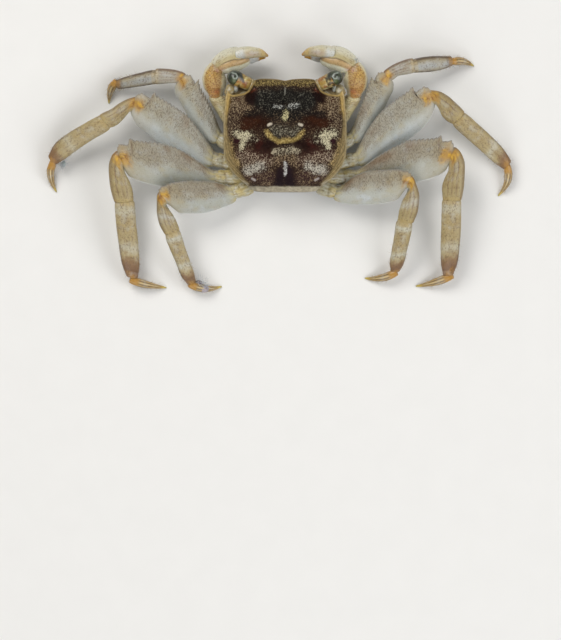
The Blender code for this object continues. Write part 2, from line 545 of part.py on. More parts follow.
def add_leg(name, leg, looks, parent):
    """One walking leg from its hip to its pointed last piece."""
    base_z, knee_z, wrist_z, ankle_z = leg["heights"]
    merus = merus_band(leg)
    add_band(f"{name}_merus", merus, looks["merus"], parent, MIDDLING, MERUS_POWER, (0.3, JOINT_END))

    root = (merus[0][0] + merus[0][1]) / 2
    hip = Vector((*leg["hip"], base_z - HIP_DROP))
    end = root + (hip - root).normalized() * (GAP + HIP_END)
    add_rod(f"{name}_hip", [hip, hip.lerp(end, 0.5), end], HIP_WIDTHS, [HIP_HEIGHT] * 3, looks["hip"], parent)

    carpus = shin_band(leg["carpus"], knee_z + CARPUS_LIFT, wrist_z + CARPUS_LIFT, CARPUS_THICKNESS)
    add_band(f"{name}_carpus", carpus, looks["shin"], parent, COARSE, ROUNDISH, (JOINT_END, JOINT_END))
    propodus = shin_band(leg["propodus"], wrist_z - PROPODUS_DROP, ankle_z, PROPODUS_THICKNESS)
    add_band(f"{name}_propodus", propodus, looks["shin"], parent, COARSE, ROUNDISH, (JOINT_END, 0.15))

    start, middle, tip = (Vector(point) for point in leg["dactylus"])
    top_z = ankle_z - DACTYLUS_DROP
    middle_z = (top_z + TIP_Z) / 2 + DACTYLUS_ARCH
    line = through(Vector((*start, top_z)), Vector((*middle, middle_z)), Vector((*tip, TIP_Z)),
                   DACTYLUS_POINTS)
    add_rod(f"{name}_dactylus", line, DACTYLUS_WIDTHS, DACTYLUS_HEIGHTS, looks["dactylus"], parent,
            ends=(0.15, 0.1))


def main():
    for old in list(bpy.data.objects):
        bpy.data.objects.remove(old, do_unlink=True)
    crab = bpy.data.objects.new("crab", None)
    bpy.context.scene.collection.objects.link(crab)
    looks = {
        "carapace": material("carapace shell", (0.16, 0.09, 0.06), 0.55),
        "underside": material("underside plate", (0.68, 0.68, 0.66), 0.45),
        "mouth": material("mouth plate", (0.32, 0.2, 0.1), 0.5),
        "eye": material("cornea", (0.03, 0.04, 0.03), 0.15),
        "stalk": material("eyestalk", (0.5, 0.32, 0.12), 0.4),
        "claw": material("claw shell", (0.7, 0.6, 0.4), 0.4),
        "wrist": material("wrist shell", (0.6, 0.38, 0.18), 0.5),
        "merus": material("upper leg shell", (0.5, 0.46, 0.38), 0.5),
        "hip": material("hip shell", (0.62, 0.58, 0.44), 0.5),
        "shin": material("lower leg shell", (0.5, 0.4, 0.24), 0.45),
        "dactylus": material("leg claw shell", (0.6, 0.34, 0.1), 0.4),
    }
    add_carapace(looks["carapace"], crab)
    add_sternum(looks["underside"], crab)
    add_pleon(looks["underside"], crab)
    for side, word in ((-1, "left"), (1, "right")):
        add_mouthpart(f"mouthpart_{word}", side, looks["mouth"], crab)
        add_eyestalk(f"eyestalk_{word}", side, looks["stalk"], crab)
        add_eye(f"eye_{word}", side, looks["eye"], crab)
        add_claw(f"claw_{word}", side, looks, crab)
    for name, leg in LEGS.items():
        add_leg(name, leg, looks, crab)


main()
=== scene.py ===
"""The looks of the crab specimen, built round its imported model.

Lengths are in millimetres in the crab's own frame, where x is to the crab's right, y is forward
and z is up. The function build turns them into the scene's metres, where the crab faces -Y.
"""

import math

import bpy
import numpy as np
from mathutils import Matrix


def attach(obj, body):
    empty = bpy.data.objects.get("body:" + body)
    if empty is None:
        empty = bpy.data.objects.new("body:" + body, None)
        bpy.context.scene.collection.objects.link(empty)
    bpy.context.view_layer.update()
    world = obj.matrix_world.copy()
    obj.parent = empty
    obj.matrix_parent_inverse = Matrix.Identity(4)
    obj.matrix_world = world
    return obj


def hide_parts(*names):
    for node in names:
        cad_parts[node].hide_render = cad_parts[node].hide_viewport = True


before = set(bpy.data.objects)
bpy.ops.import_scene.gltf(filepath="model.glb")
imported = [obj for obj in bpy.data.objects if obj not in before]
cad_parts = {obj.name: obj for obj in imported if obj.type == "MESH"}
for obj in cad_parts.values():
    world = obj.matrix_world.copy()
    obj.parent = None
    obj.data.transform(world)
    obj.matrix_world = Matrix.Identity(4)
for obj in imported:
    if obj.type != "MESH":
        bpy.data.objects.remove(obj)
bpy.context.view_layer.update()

MM = 0.001
REST_Y = -8.0

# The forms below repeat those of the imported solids.
FRONT_EDGE = [(0.0, 10.9, 9.7), (1.8, 11.2, 9.8), (4.0, 11.3, 9.8), (5.8, 11.1, 9.8), (6.4, 10.2, 9.6),
              (7.1, 9.1, 9.5), (8.8, 8.3, 9.4), (10.5, 8.1, 9.3), (11.5, 9.0, 9.2)]
SIDE_EDGE = [(11.5, 9.0, 9.2), (11.9, 7.6, 9.0), (12.0, 6.0, 8.9), (12.2, 4.3, 8.8), (12.3, 2.6, 8.7),
             (12.3, 0.6, 8.6), (12.3, -1.6, 8.5), (12.2, -3.8, 8.4), (11.5, -5.8, 8.2), (10.4, -7.4, 8.0),
             (9.1, -8.7, 7.8), (8.0, -9.6, 7.6)]
BACK_EDGE = [(0.0, -11.3, 7.4), (3.0, -11.3, 7.4), (6.0, -11.1, 7.4), (7.0, -10.4, 7.5), (8.0, -9.6, 7.6)]
DOME, DOME_POWER, DOME_EDGE, RELIEF_FADE = 4.3, 4.0, 0.8, 3.0
RELIEF = [(1.5, 6.3, 1.3, 1.2, 0.45), (4.6, 6.9, 1.4, 1.0, 0.4), (0.0, 6.6, 0.5, 2.2, -0.4),
          (3.0, 6.7, 0.4, 1.6, -0.25), (0.0, 1.2, 3.2, 2.2, 0.35), (0.0, -3.4, 2.2, 1.6, 0.3),
          (4.4, 1.0, 0.8, 2.2, -0.3), (8.3, -1.2, 2.6, 2.8, 0.35), (5.9, -5.8, 2.6, 1.8, 0.25),
          (8.6, 5.0, 1.8, 1.8, 0.3)]
WALLS = [(0.975, 7.6, 9.0), (0.86, 6.3, 7.9), (0.78, 4.4, 6.4)]
WALL_CENTRE_Y, WALL_RISE_Y, WALL_RISE_LENGTH = -0.6, 2.0, 7.0
ORBIT_X, ORBIT_WIDTH, ORBIT_FRONT_Y, ORBIT_LEDGE = 9.3, 1.5, 6.0, [0.0, 2.1, 0.6]
FLOOR_Z, FLOOR_FRONT_Z, MOUTH_BACK_Y, MOUTH_FRONT_Y = 4.0, 6.1, 1.8, 8.8
CHEEK = (5.9, 5.6, 2.0, 2.2, 1.0)
STERNUM = [(0.0, 2.0), (2.4, 1.9), (3.6, 1.2), (5.4, -0.9), (7.6, -1.3), (8.9, -2.8), (9.1, -5.0),
           (8.6, -7.2), (7.6, -8.3), (6.6, -9.0), (5.8, -9.8), (0.0, -9.9)]
STERNUM_MIDDLE_Y = -4.5
PLEON = [(-0.7, 0.45, 0.35), (-1.1, 0.42, 0.9), (-2.6, 0.42, 1.5), (-3.9, 0.42, 1.8),
         (-4.5, 0.42, 2.9), (-6.0, 0.42, 3.6), (-7.3, 0.42, 4.1), (-9.2, 0.42, 4.8),
         (-10.2, 0.42, 5.2), (-10.6, 0.85, 5.4), (-10.75, 2.2, 5.4), (-10.5, 5.4, 5.0)]
PLEON_FLAT_ROWS, PLEON_THICKNESS = 9, 0.84
MOUTHPART = [(0.5, 8.2), (1.6, 8.7), (2.7, 8.2), (3.3, 6.9), (3.4, 5.2), (3.0, 3.6), (2.0, 2.5),
             (1.0, 2.5), (0.5, 3.4), (1.3, 4.9), (1.5, 5.9), (1.1, 7.0)]
MOUTHPART_MIDDLE = (2.1, 5.5)
EYE_CENTRE, EYE_RADIUS, EYE_STRETCH = (10.0, 11.5, 9.2), 1.5, 1.06
STALK_BASE = (7.0, 10.15, 8.1)
CLAW_BASE = [((8.3, -0.4, 2.2), (6.6, 1.6, 2.2), 1.9), ((10.0, 0.9, 2.5), (7.8, 2.9, 2.4), 2.3),
             ((11.6, 2.5, 3.0), (9.4, 4.1, 2.7), 2.4)]
CLAW_MERUS = [((12.4, 2.9, 3.8), (9.9, 4.6, 3.0), 2.8), ((13.4, 4.5, 4.3), (10.6, 6.1, 3.4), 3.4),
              ((14.4, 6.0, 4.9), (11.2, 7.2, 4.1), 3.6), ((15.1, 7.4, 5.3), (12.0, 8.0, 4.7), 3.0)]
CLAW_WRIST = [((15.4, 8.4, 5.4), (12.4, 9.0, 5.0), 2.9), ((16.2, 9.7, 5.6), (11.9, 10.0, 4.9), 4.4),
              ((16.5, 11.5, 5.9), (11.8, 11.0, 4.8), 5.0), ((16.0, 13.2, 6.0), (11.9, 11.9, 4.8), 4.8),
              ((15.0, 14.5, 6.2), (12.2, 12.5, 4.9), 3.8)]
CLAW_PALM = [((14.4, 15.1, 6.2), (11.8, 13.1, 4.2), 4.2), ((13.2, 16.2, 6.4), (11.2, 13.0, 4.0), 5.4),
             ((11.8, 17.0, 6.5), (10.7, 13.4, 3.9), 5.8), ((10.3, 17.4, 6.5), (9.8, 13.8, 3.7), 5.6),
             ((9.1, 17.5, 6.3), (8.9, 14.5, 3.6), 5.0), ((8.2, 16.9, 4.6), (8.0, 14.9, 3.0), 2.7),
             ((6.6, 16.9, 4.4), (6.4, 15.1, 3.1), 2.1), ((5.0, 16.7, 4.7), (4.9, 15.5, 3.8), 1.4),
             ((4.1, 16.2, 5.0), (4.0, 15.7, 4.8), 0.4)]
CLAW_FINGER = [((9.9, 17.6, 7.2), (9.4, 15.6, 6.2), 2.6), ((8.5, 17.95, 7.5), (8.1, 15.8, 6.4), 2.3),
               ((7.0, 17.95, 7.8), (6.6, 15.85, 6.6), 2.2), ((5.2, 17.8, 7.1), (5.0, 16.0, 6.2), 1.7),
               ((4.2, 17.3, 6.3), (4.2, 16.0, 5.7), 1.3), ((3.5, 16.65, 5.5), (3.6, 16.1, 5.3), 0.6)]
LEFT_CLAW_TURN_Y, LEFT_CLAW_REACH = 11.0, 0.96
LEGS = {
    "leg_1_left": dict(
        hip=(-9.9, -2.4), heights=(3.7, 5.8, 5.6, 2.3),
        front=[(-12.9, 1.1), (-14.6, 4.8), (-15.6, 6.7), (-17.0, 9.1), (-17.6, 10.8), (-17.9, 10.2),
               (-19.2, 12.0)],
        rear=[(-14.1, -1.4), (-16.3, 0.2), (-18.7, 3.1), (-21.1, 7.2), (-22.0, 9.2)],
        carpus=[(-19.9, 12.4), (-21.6, 10.6), (-21.5, 13.1), (-22.7, 10.6), (-23.3, 13.4), (-24.1, 10.5),
                (-25.4, 13.5), (-25.5, 10.4)],
        propodus=[(-26.3, 13.2), (-26.2, 10.4), (-29.0, 12.7), (-28.5, 10.1), (-31.1, 12.2), (-30.9, 9.8),
                  (-33.4, 11.5), (-33.2, 9.6)],
        dactylus=[(-34.3, 10.5), (-35.1, 9.0), (-35.4, 6.8)]),
    "leg_2_left": dict(
        hip=(-9.9, -5.5), heights=(4.0, 7.2, 6.6, 2.4),
        front=[(-14.3, -2.8), (-17.5, 1.4), (-19.9, 4.1), (-22.3, 5.7), (-24.8, 7.2), (-26.3, 8.1),
               (-26.7, 7.3), (-28.8, 8.2)],
        rear=[(-15.1, -6.1), (-20.0, -3.9), (-24.8, -1.5), (-27.2, 0.2), (-29.6, 2.1), (-30.5, 3.7)],
        carpus=[(-29.6, 7.8), (-30.8, 4.9), (-31.2, 7.4), (-31.6, 4.2), (-32.9, 6.6), (-32.6, 3.1),
                (-34.8, 5.3), (-33.6, 2.2), (-36.7, 4.4), (-34.5, 1.8)],
        propodus=[(-37.4, 3.9), (-35.3, 1.2), (-40.8, 2.1), (-38.6, -0.7), (-44.0, 0.2), (-41.9, -2.9),
                  (-46.2, -1.6), (-44.3, -4.6), (-47.3, -3.5), (-45.8, -5.5)],
        dactylus=[(-46.8, -5.9), (-47.0, -8.2), (-46.0, -11.0)]),
    "leg_3_left": dict(
        hip=(-9.2, -8.3), heights=(4.5, 8.2, 7.0, 2.4),
        front=[(-14.6, -6.8), (-17.5, -5.0), (-19.9, -3.5), (-23.6, -2.0), (-27.2, -1.5), (-30.9, -1.1),
               (-31.0, -2.0), (-33.1, -2.1)],
        rear=[(-14.0, -9.4), (-19.0, -10.1), (-23.8, -10.3), (-28.4, -9.3), (-30.6, -8.4)],
        carpus=[(-33.5, -3.1), (-32.2, -6.1), (-34.7, -4.3), (-31.9, -7.4), (-35.2, -6.5), (-31.0, -9.2),
                (-35.0, -9.5), (-30.5, -10.8), (-34.2, -12.9), (-30.3, -12.6)],
        propodus=[(-34.0, -13.8), (-30.1, -13.5), (-33.8, -17.3), (-29.8, -17.5), (-33.3, -21.4),
                  (-29.4, -21.6), (-32.7, -25.4), (-29.2, -25.8), (-31.9, -27.7), (-29.5, -28.0)],
        dactylus=[(-30.2, -29.0), (-27.2, -29.8), (-23.9, -30.3)]),
    "leg_4_left": dict(
        hip=(-7.4, -10.2), heights=(4.7, 8.6, 7.0, 2.4),
        front=[(-11.4, -9.9), (-14.3, -9.2), (-18.4, -9.1), (-22.3, -9.5), (-24.7, -10.6)],
        rear=[(-9.9, -12.8), (-11.8, -13.8), (-14.5, -15.0), (-18.0, -15.5), (-21.2, -15.4), (-23.3, -13.7)],
        carpus=[(-25.2, -11.3), (-23.9, -14.0), (-25.6, -12.9), (-23.1, -14.8), (-25.6, -14.9),
                (-22.3, -15.9), (-25.2, -17.3), (-21.6, -17.3), (-24.2, -19.4), (-21.2, -18.4)],
        propodus=[(-23.8, -20.3), (-20.9, -19.3), (-23.1, -22.4), (-20.1, -21.9), (-21.9, -25.2),
                  (-19.1, -24.8), (-20.7, -28.2), (-18.2, -27.6), (-19.8, -29.3), (-18.0, -28.7)],
        dactylus=[(-18.4, -29.9), (-15.7, -30.5), (-12.8, -30.1)]),
    "leg_1_right": dict(
        hip=(9.9, -2.4), heights=(3.7, 5.8, 5.6, 2.3),
        front=[(13.2, 1.2), (15.1, 5.2), (16.3, 8.2), (17.5, 11.4), (17.8, 10.7), (18.9, 12.5)],
        rear=[(14.2, -1.3), (16.6, 0.9), (19.0, 4.3), (20.6, 7.3), (21.7, 9.8)],
        carpus=[(19.7, 12.8), (21.3, 11.1), (21.2, 14.0), (22.6, 12.0), (23.1, 14.9), (23.9, 12.3),
                (25.1, 15.5), (25.5, 12.6)],
        propodus=[(25.9, 15.4), (26.3, 12.7), (28.2, 15.9), (28.4, 12.9), (30.7, 16.1), (30.8, 13.3),
                  (33.0, 16.1), (33.1, 14.1)],
        dactylus=[(34.0, 15.1), (36.0, 15.1), (37.9, 14.3)]),
    "leg_2_right": dict(
        hip=(9.9, -5.5), heights=(4.0, 7.2, 6.6, 2.4),
        front=[(14.3, -2.8), (16.7, 1.3), (19.0, 4.3), (21.3, 6.3), (23.6, 7.9), (25.6, 9.3),
               (25.7, 8.4), (28.0, 9.5)],
        rear=[(15.2, -6.0), (19.5, -3.8), (23.9, -1.2), (27.1, 1.3), (29.2, 3.6), (29.7, 5.2)],
        carpus=[(28.9, 9.1), (30.0, 6.3), (30.6, 8.9), (30.8, 5.2), (32.3, 8.1), (31.6, 3.7),
                (34.1, 6.6), (32.7, 2.8), (35.6, 5.1), (33.3, 2.5)],
        propodus=[(36.3, 4.3), (33.9, 1.8), (38.6, 2.4), (36.5, -0.5), (41.2, 0.1), (39.4, -3.0),
                  (43.5, -2.2), (41.9, -5.2), (45.2, -4.6), (43.6, -6.3)],
        dactylus=[(44.7, -6.6), (44.6, -9.2), (42.9, -11.8)]),
    "leg_3_right": dict(
        hip=(9.2, -8.3), heights=(4.5, 8.2, 7.0, 2.4),
        front=[(14.6, -6.7), (18.5, -4.2), (22.3, -2.2), (24.9, -1.1), (28.7, -0.9), (31.0, -0.5),
               (31.1, -1.3), (33.2, -1.4)],
        rear=[(14.0, -9.2), (20.0, -9.9), (25.9, -9.4), (30.0, -8.2), (31.4, -7.5)],
        carpus=[(33.7, -2.3), (32.7, -5.4), (35.2, -3.6), (32.6, -6.9), (35.9, -6.0), (31.9, -8.4),
                (35.8, -9.3), (31.4, -10.3), (35.3, -12.5), (31.5, -12.4)],
        propodus=[(35.2, -13.4), (31.4, -13.3), (35.2, -17.5), (31.3, -17.5), (35.0, -21.5),
                  (31.2, -21.6), (34.6, -25.2), (31.3, -25.4), (33.9, -27.3), (31.7, -27.4)],
        dactylus=[(32.8, -28.2), (29.8, -29.3), (26.4, -30.0)]),
    "leg_4_right": dict(
        hip=(7.4, -10.2), heights=(4.7, 8.6, 7.0, 2.4),
        front=[(11.0, -9.9), (13.9, -8.0), (17.2, -7.1), (22.3, -6.9), (24.6, -7.5)],
        rear=[(9.9, -12.6), (14.1, -13.7), (18.5, -13.5), (22.4, -12.8), (24.1, -10.6)],
        carpus=[(25.2, -8.0), (24.8, -10.7), (26.2, -9.7), (24.1, -11.8), (26.8, -12.2), (23.3, -13.3),
                (26.6, -14.7), (22.8, -15.0), (25.8, -17.0), (22.6, -16.5)],
        propodus=[(25.4, -18.0), (22.2, -17.5), (25.0, -20.4), (21.8, -20.4), (24.4, -23.0),
                  (21.3, -23.2), (23.9, -25.2), (21.0, -25.6), (23.2, -26.6), (21.2, -26.6)],
        dactylus=[(21.6, -27.6), (19.0, -28.4), (16.1, -28.4)]),
}
MERUS_THICKNESS, MERUS_TILT, SHIN_TILT = (2.1, 0.75), math.radians(26), math.radians(12)
HIP_DROP = 0.6
CARPUS_LIFT, CARPUS_THICKNESS = 0.1, [1.9, 2.3, 2.5, 2.5, 2.2]
PROPODUS_DROP, PROPODUS_THICKNESS = 0.2, [2.2, 2.3, 2.1, 1.9, 1.7]
DACTYLUS_DROP, DACTYLUS_ARCH, TIP_Z = 0.3, 0.15, 0.14
DACTYLUS_WIDTHS, DACTYLUS_HEIGHTS = [1.6, 1.65, 1.5, 1.15, 0.75, 0.25], [1.6, 1.5, 1.35, 1.05, 0.65, 0.2]
GAP = 0.3


# Numbers and curves

def rgb(code):
    """A linear colour from six hexadecimal digits."""
    parts = [int(code[k:k + 2], 16) / 255 for k in (0, 2, 4)]
    return np.array([c / 12.92 if c <= 0.04045 else ((c + 0.055) / 1.055) ** 2.4 for c in parts])


def ease(low, high, value):
    """From 0 at low to 1 at high, smoothly. With low above high it falls."""
    part = np.clip((np.asarray(value, float) - low) / (high - low), 0, 1)
    return part * part * (3 - 2 * part)


def bell(value, centre, width):
    """1 at the centre, fading to 0 either side."""
    return np.exp(-((np.asarray(value, float) - centre) / width) ** 2)


def follow(known, values, wanted):
    """A smooth curve through the values at the known places, which never overshoots them."""
    known, values = np.asarray(known, float), np.asarray(values, float)
    if values.ndim == 1:
        return follow(known, values[:, None], wanted)[:, 0]
    wanted = np.clip(wanted, known[0], known[-1])
    gap = np.diff(known)[:, None]
    slope = np.diff(values, axis=0) / gap
    left, right = slope[:-1], slope[1:]
    near, far = 2 * gap[1:] + gap[:-1], gap[1:] + 2 * gap[:-1]
    same = left * right > 0
    with np.errstate(divide="ignore", invalid="ignore"):
        mean = (near + far) / (near / left + far / right)
    tangent = np.vstack([slope[:1], np.where(same, mean, 0.0), slope[-1:]])
    k = np.clip(np.searchsorted(known, wanted, side="right") - 1, 0, len(known) - 2)
    span = gap[k]
    t = (wanted - known[k])[:, None] / span
    return ((2 * t ** 3 - 3 * t ** 2 + 1) * values[k] + (t ** 3 - 2 * t ** 2 + t) * span * tangent[k]
            + (3 * t ** 2 - 2 * t ** 3) * values[k + 1] + (t ** 3 - t ** 2) * span * tangent[k + 1])


def unit(vector):
    """A vector, or each of several, at length 1."""
    vector = np.asarray(vector, float)
    return vector / np.linalg.norm(vector, axis=-1, keepdims=True)


def lengths_along(line):
    """The distance of each point of a line from its first one, along the line."""
    return np.append(0.0, np.cumsum(np.linalg.norm(np.diff(line, axis=0), axis=1)))


def cover(tint, colour, amount):
    """A colour laid over others by the amount at each point."""
    amount = amount[:, None]
    return tint * (1 - amount) + colour * amount


def scatter(places, seed):
    """A fixed random number from 0 to 1 for each place of whole numbers."""
    mixed = (places[..., 0] * 73856093) ^ (places[..., 1] * 19349663) ^ (places[..., 2] * 83492791)
    mixed = mixed ^ (seed * 668265263)
    mixed = ((mixed ^ (mixed >> 13)) * 1274126177) & 0x7FFFFFFF
    return ((mixed ^ (mixed >> 16)) & 0xFFFF) / 65535.0


def noise(points, size, seed=0, octaves=2):
    """Smooth random values from -1 to 1, with features of about the given size."""
    total, most = 0.0, 0.0
    for octave in range(octaves):
        spots = points / size * 2 ** octave + 17.3 * octave
        base = np.floor(spots).astype(np.int64)
        part = spots - base
        part = part * part * (3 - 2 * part)
        value = 0.0
        for corner in np.ndindex(2, 2, 2):
            share = np.prod(np.where(np.array(corner) == 1, part, 1 - part), axis=-1)
            value = value + share * scatter(base + np.array(corner), seed + octave)
        total = total + value / 2 ** octave
        most += 0.5 ** octave
    return total / most * 2 - 1


def away(x, y, path):
    """Distance in plan from each place to a path of points."""
    if len(path) == 1:
        return np.hypot(x - path[0][0], y - path[0][1])
    best = np.full(np.shape(x), np.inf)
    for (ax, ay), (bx, by) in zip(path, path[1:]):
        dx, dy = bx - ax, by - ay
        part = np.clip(((x - ax) * dx + (y - ay) * dy) / (dx * dx + dy * dy), 0, 1)
        best = np.minimum(best, np.hypot(x - ax - part * dx, y - ay - part * dy))
    return best


# Surfaces

class Patch:
    """Points, faces and the values that each point carries."""

    def __init__(self, points, faces, **values):
        self.points = np.asarray(points, float).reshape(-1, 3)
        self.faces = [np.asarray(part, np.int64) for part in faces]
        self.values = values

    def normals(self):
        """Unit normals at the points."""
        total = np.zeros_like(self.points)
        for part in self.faces:
            corners = self.points[part]
            if part.shape[1] == 4:
                flat = np.cross(corners[:, 2] - corners[:, 0], corners[:, 3] - corners[:, 1])
            else:
                flat = np.cross(corners[:, 1] - corners[:, 0], corners[:, 2] - corners[:, 0])
            for k in range(part.shape[1]):
                np.add.at(total, part[:, k], flat)
        return total / np.maximum(np.linalg.norm(total, axis=1, keepdims=True), 1e-12)

    def outward(self):
        """Turns the faces of a closed surface to point out."""
        volume = 0.0
        for part in self.faces:
            a, b, c = self.points[part[:, 0]], self.points[part[:, 1]], self.points[part[:, 2]]
            volume += np.einsum("ij,ij->", a, np.cross(b, c))
            if part.shape[1] == 4:
                d = self.points[part[:, 3]]
                volume += np.einsum("ij,ij->", a, np.cross(c, d))
        if volume < 0:
            self.faces = [part[:, ::-1] for part in self.faces]
        return self

    def push(self, height):
        """Moves each point along its normal."""
        self.points = self.points + self.normals() * np.asarray(height)[:, None]
        return self


def grid_faces(rows, columns, closed):
    """Quads between the points of a grid, which closes round on itself or not."""
    row = np.arange(rows - 1)[:, None] * columns
    column = np.arange(columns if closed else columns - 1)[None, :]
    after = (column + 1) % columns
    return np.stack([row + column, row + after, row + columns + after, row + columns + column], -1).reshape(-1, 4)


def ringed(rings):
    """A closed patch through rings of equal size, with flat ends."""
    rings = np.array(rings, float)
    rows, count = rings.shape[:2]
    ends = [np.arange(count)[None, ::-1], (rows - 1) * count + np.arange(count)[None]]
    return Patch(rings.reshape(-1, 3), [grid_faces(rows, count, True), *ends]).outward()


def ball(rows, columns, hole):
    """Points over a ball of radius 1, ring by ring from pole to pole, with a small hole at each."""
    angle = np.linspace(hole, np.pi - hole, rows)[:, None]
    turn = 2 * np.pi * np.arange(columns)[None] / columns
    return np.stack([np.sin(angle) * np.cos(turn), np.sin(angle) * np.sin(turn),
                     np.cos(angle) * np.ones_like(turn)], -1)


CAP_TURNS = np.array([0.4, 0.8, 1.15, 1.42])


def loft(rings, ends, along, wide, high):
    """A closed tube through rings of points, with rounded ends of the given lengths."""
    rings = np.asarray(rings, float)
    rows, count = rings.shape[:2]
    middles = rings.mean(1)
    first, last = unit(middles[0] - middles[1]), unit(middles[-1] - middles[-2])
    start = [middles[0] + (rings[0] - middles[0]) * math.cos(a) ** 0.75 + first * ends[0] * math.sin(a)
             for a in CAP_TURNS[::-1]]
    finish = [middles[-1] + (rings[-1] - middles[-1]) * math.cos(a) ** 0.75 + last * ends[1] * math.sin(a)
              for a in CAP_TURNS]
    caps = len(CAP_TURNS)
    grid = np.concatenate([start, rings, finish])
    along = np.concatenate([np.full(caps, along[0]), along, np.full(caps, along[-1])])
    total = rows + 2 * caps
    points = np.concatenate([grid.reshape(-1, 3), [middles[0] + first * ends[0], middles[-1] + last * ends[1]]])
    near = np.arange(count)
    after = (near + 1) % count
    tip, tail = total * count, total * count + 1
    bottom = (total - 1) * count
    faces = [grid_faces(total, count, True),
             np.stack([np.full(count, tip), after, near], -1),
             np.stack([np.full(count, tail), bottom + near, bottom + after], -1)]
    spread = np.repeat(along, count)
    values = dict(
        along=np.append(spread, [along[0], along[-1]]),
        share=np.append(spread, [along[0], along[-1]]) / max(along[-1], 1e-9),
        wide=np.append(np.tile(wide, total), [0.0, 0.0]),
        high=np.append(np.tile(high, total), [0.0, 0.0]))
    return Patch(points, faces, **values).outward()


def rounded(count, across, upward):
    """Points round a rounded rectangle, whose corners are the sharper the higher the two powers are."""
    turn = 2 * np.pi * np.arange(count) / count
    return (np.sign(np.cos(turn)) * np.abs(np.cos(turn)) ** (2 / across),
            np.sign(np.sin(turn)) * np.abs(np.sin(turn)) ** (2 / upward))


def tube(outer, inner, thick, count=48, power=2.2, ends=(0.1, 0.1), pitch=0.2):
    """A flattened tube between an outer and an inner edge. Its values tell places on it apart:
    along in mm, share of its length, wide from -1 at the inner to 1 at the outer edge, high."""
    outer, inner, thick = (np.array(part, float) for part in (outer, inner, thick))
    middle = (outer + inner) / 2
    along = lengths_along(middle)
    places = np.linspace(0, along[-1], max(5, int(along[-1] / pitch) + 1))
    outer, inner, thick = (follow(along, part, places) for part in (outer, inner, thick))
    middle, across = (outer + inner) / 2, (outer - inner) / 2
    normal = unit(np.cross(across, np.gradient(middle, axis=0)))
    normal *= np.where(normal[:, 2:] < 0, -1, 1)
    wide, high = rounded(count, power, power)
    rings = (middle[:, None] + across[:, None] * wide[None, :, None]
             + normal[:, None] * (high[None, :] * thick[:, None] / 2)[..., None])
    patch = loft(rings, ends, places, wide, high)
    caps = len(CAP_TURNS)

    def spread(rows):
        """A value of each ring given to its points, those of the caps and their two tips."""
        rows = np.concatenate([rows[:1]] * caps + [rows] + [rows[-1:]] * caps)
        rows = np.repeat(rows, count, axis=0)
        return np.concatenate([rows, rows[:1], rows[-1:]])

    half, deep = spread(np.linalg.norm(across, axis=1)), spread(thick)
    patch.values["place"] = np.stack([patch.values["along"], patch.values["wide"] * half,
                                      patch.values["high"] * deep / 2], -1)
    patch.edge = unit(spread(outer - inner))
    return patch


def rod(points, widths, heights, count=24, ends=(0.2, 0.2), pitch=0.15, toward=None):
    """A tube along a line of points, of given widths and heights."""
    points = np.array(points, float)
    run = np.gradient(points, axis=0)
    across = unit(np.cross(run, (0.0, 0.0, 1.0)))
    if toward is not None and across[0] @ np.asarray(toward) < 0:
        across = -across
    across *= np.array(widths)[:, None] / 2
    return tube(points + across, points - across, heights, count, 2.2, ends, pitch)


def painted(patch, base, *layers):
    """Gives each point its colour: the base, then each (colour, amount) over it."""
    tint = np.tile(rgb(base), (len(patch.points), 1))
    for colour, amount in layers:
        tint = cover(tint, rgb(colour), np.clip(amount, 0, 1))
    patch.values["tint"] = tint
    return patch


KEPT_VALUES = ("tint", "pale", "place", "share", "grain", "shine")


def build(name, patch, look, slot, *nodes):
    """Makes a piece of the scene from a patch, with one of the LOOKS, standing for the given CAD nodes."""
    points = patch.points
    places = np.stack([-points[:, 0], REST_Y - points[:, 1], points[:, 2]], -1) * MM
    mesh = bpy.data.meshes.new(name)
    mesh.vertices.add(len(places))
    mesh.vertices.foreach_set("co", places.ravel())
    sizes = np.concatenate([np.full(len(part), part.shape[1]) for part in patch.faces])
    corners = np.concatenate([part.ravel() for part in patch.faces])
    mesh.loops.add(len(corners))
    mesh.loops.foreach_set("vertex_index", corners.astype(np.int32))
    mesh.polygons.add(len(sizes))
    mesh.polygons.foreach_set("loop_start", np.append(0, np.cumsum(sizes)[:-1]).astype(np.int32))
    mesh.polygons.foreach_set("loop_total", sizes.astype(np.int32))
    for key in KEPT_VALUES:
        value = patch.values.get(key)
        if value is None:
            continue
        if key in ("tint", "pale"):
            made = mesh.attributes.new(key, "FLOAT_COLOR", "POINT")
            made.data.foreach_set("color", np.column_stack([value, np.ones(len(value))]).ravel().astype(np.float32))
        elif key == "place":
            made = mesh.attributes.new(key, "FLOAT_VECTOR", "POINT")
            made.data.foreach_set("vector", value.ravel().astype(np.float32))
        else:
            made = mesh.attributes.new(key, "FLOAT", "POINT")
            made.data.foreach_set("value", np.asarray(value, np.float32))
    mesh.update(calc_edges=True)
    mesh.validate()
    mesh.shade_smooth()
    mesh.materials.append(LOOKS[look])
    piece = bpy.data.objects.new(name, mesh)
    bpy.context.scene.collection.objects.link(piece)
    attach(piece, "root")
    if nodes:
        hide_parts(*nodes)


# Materials

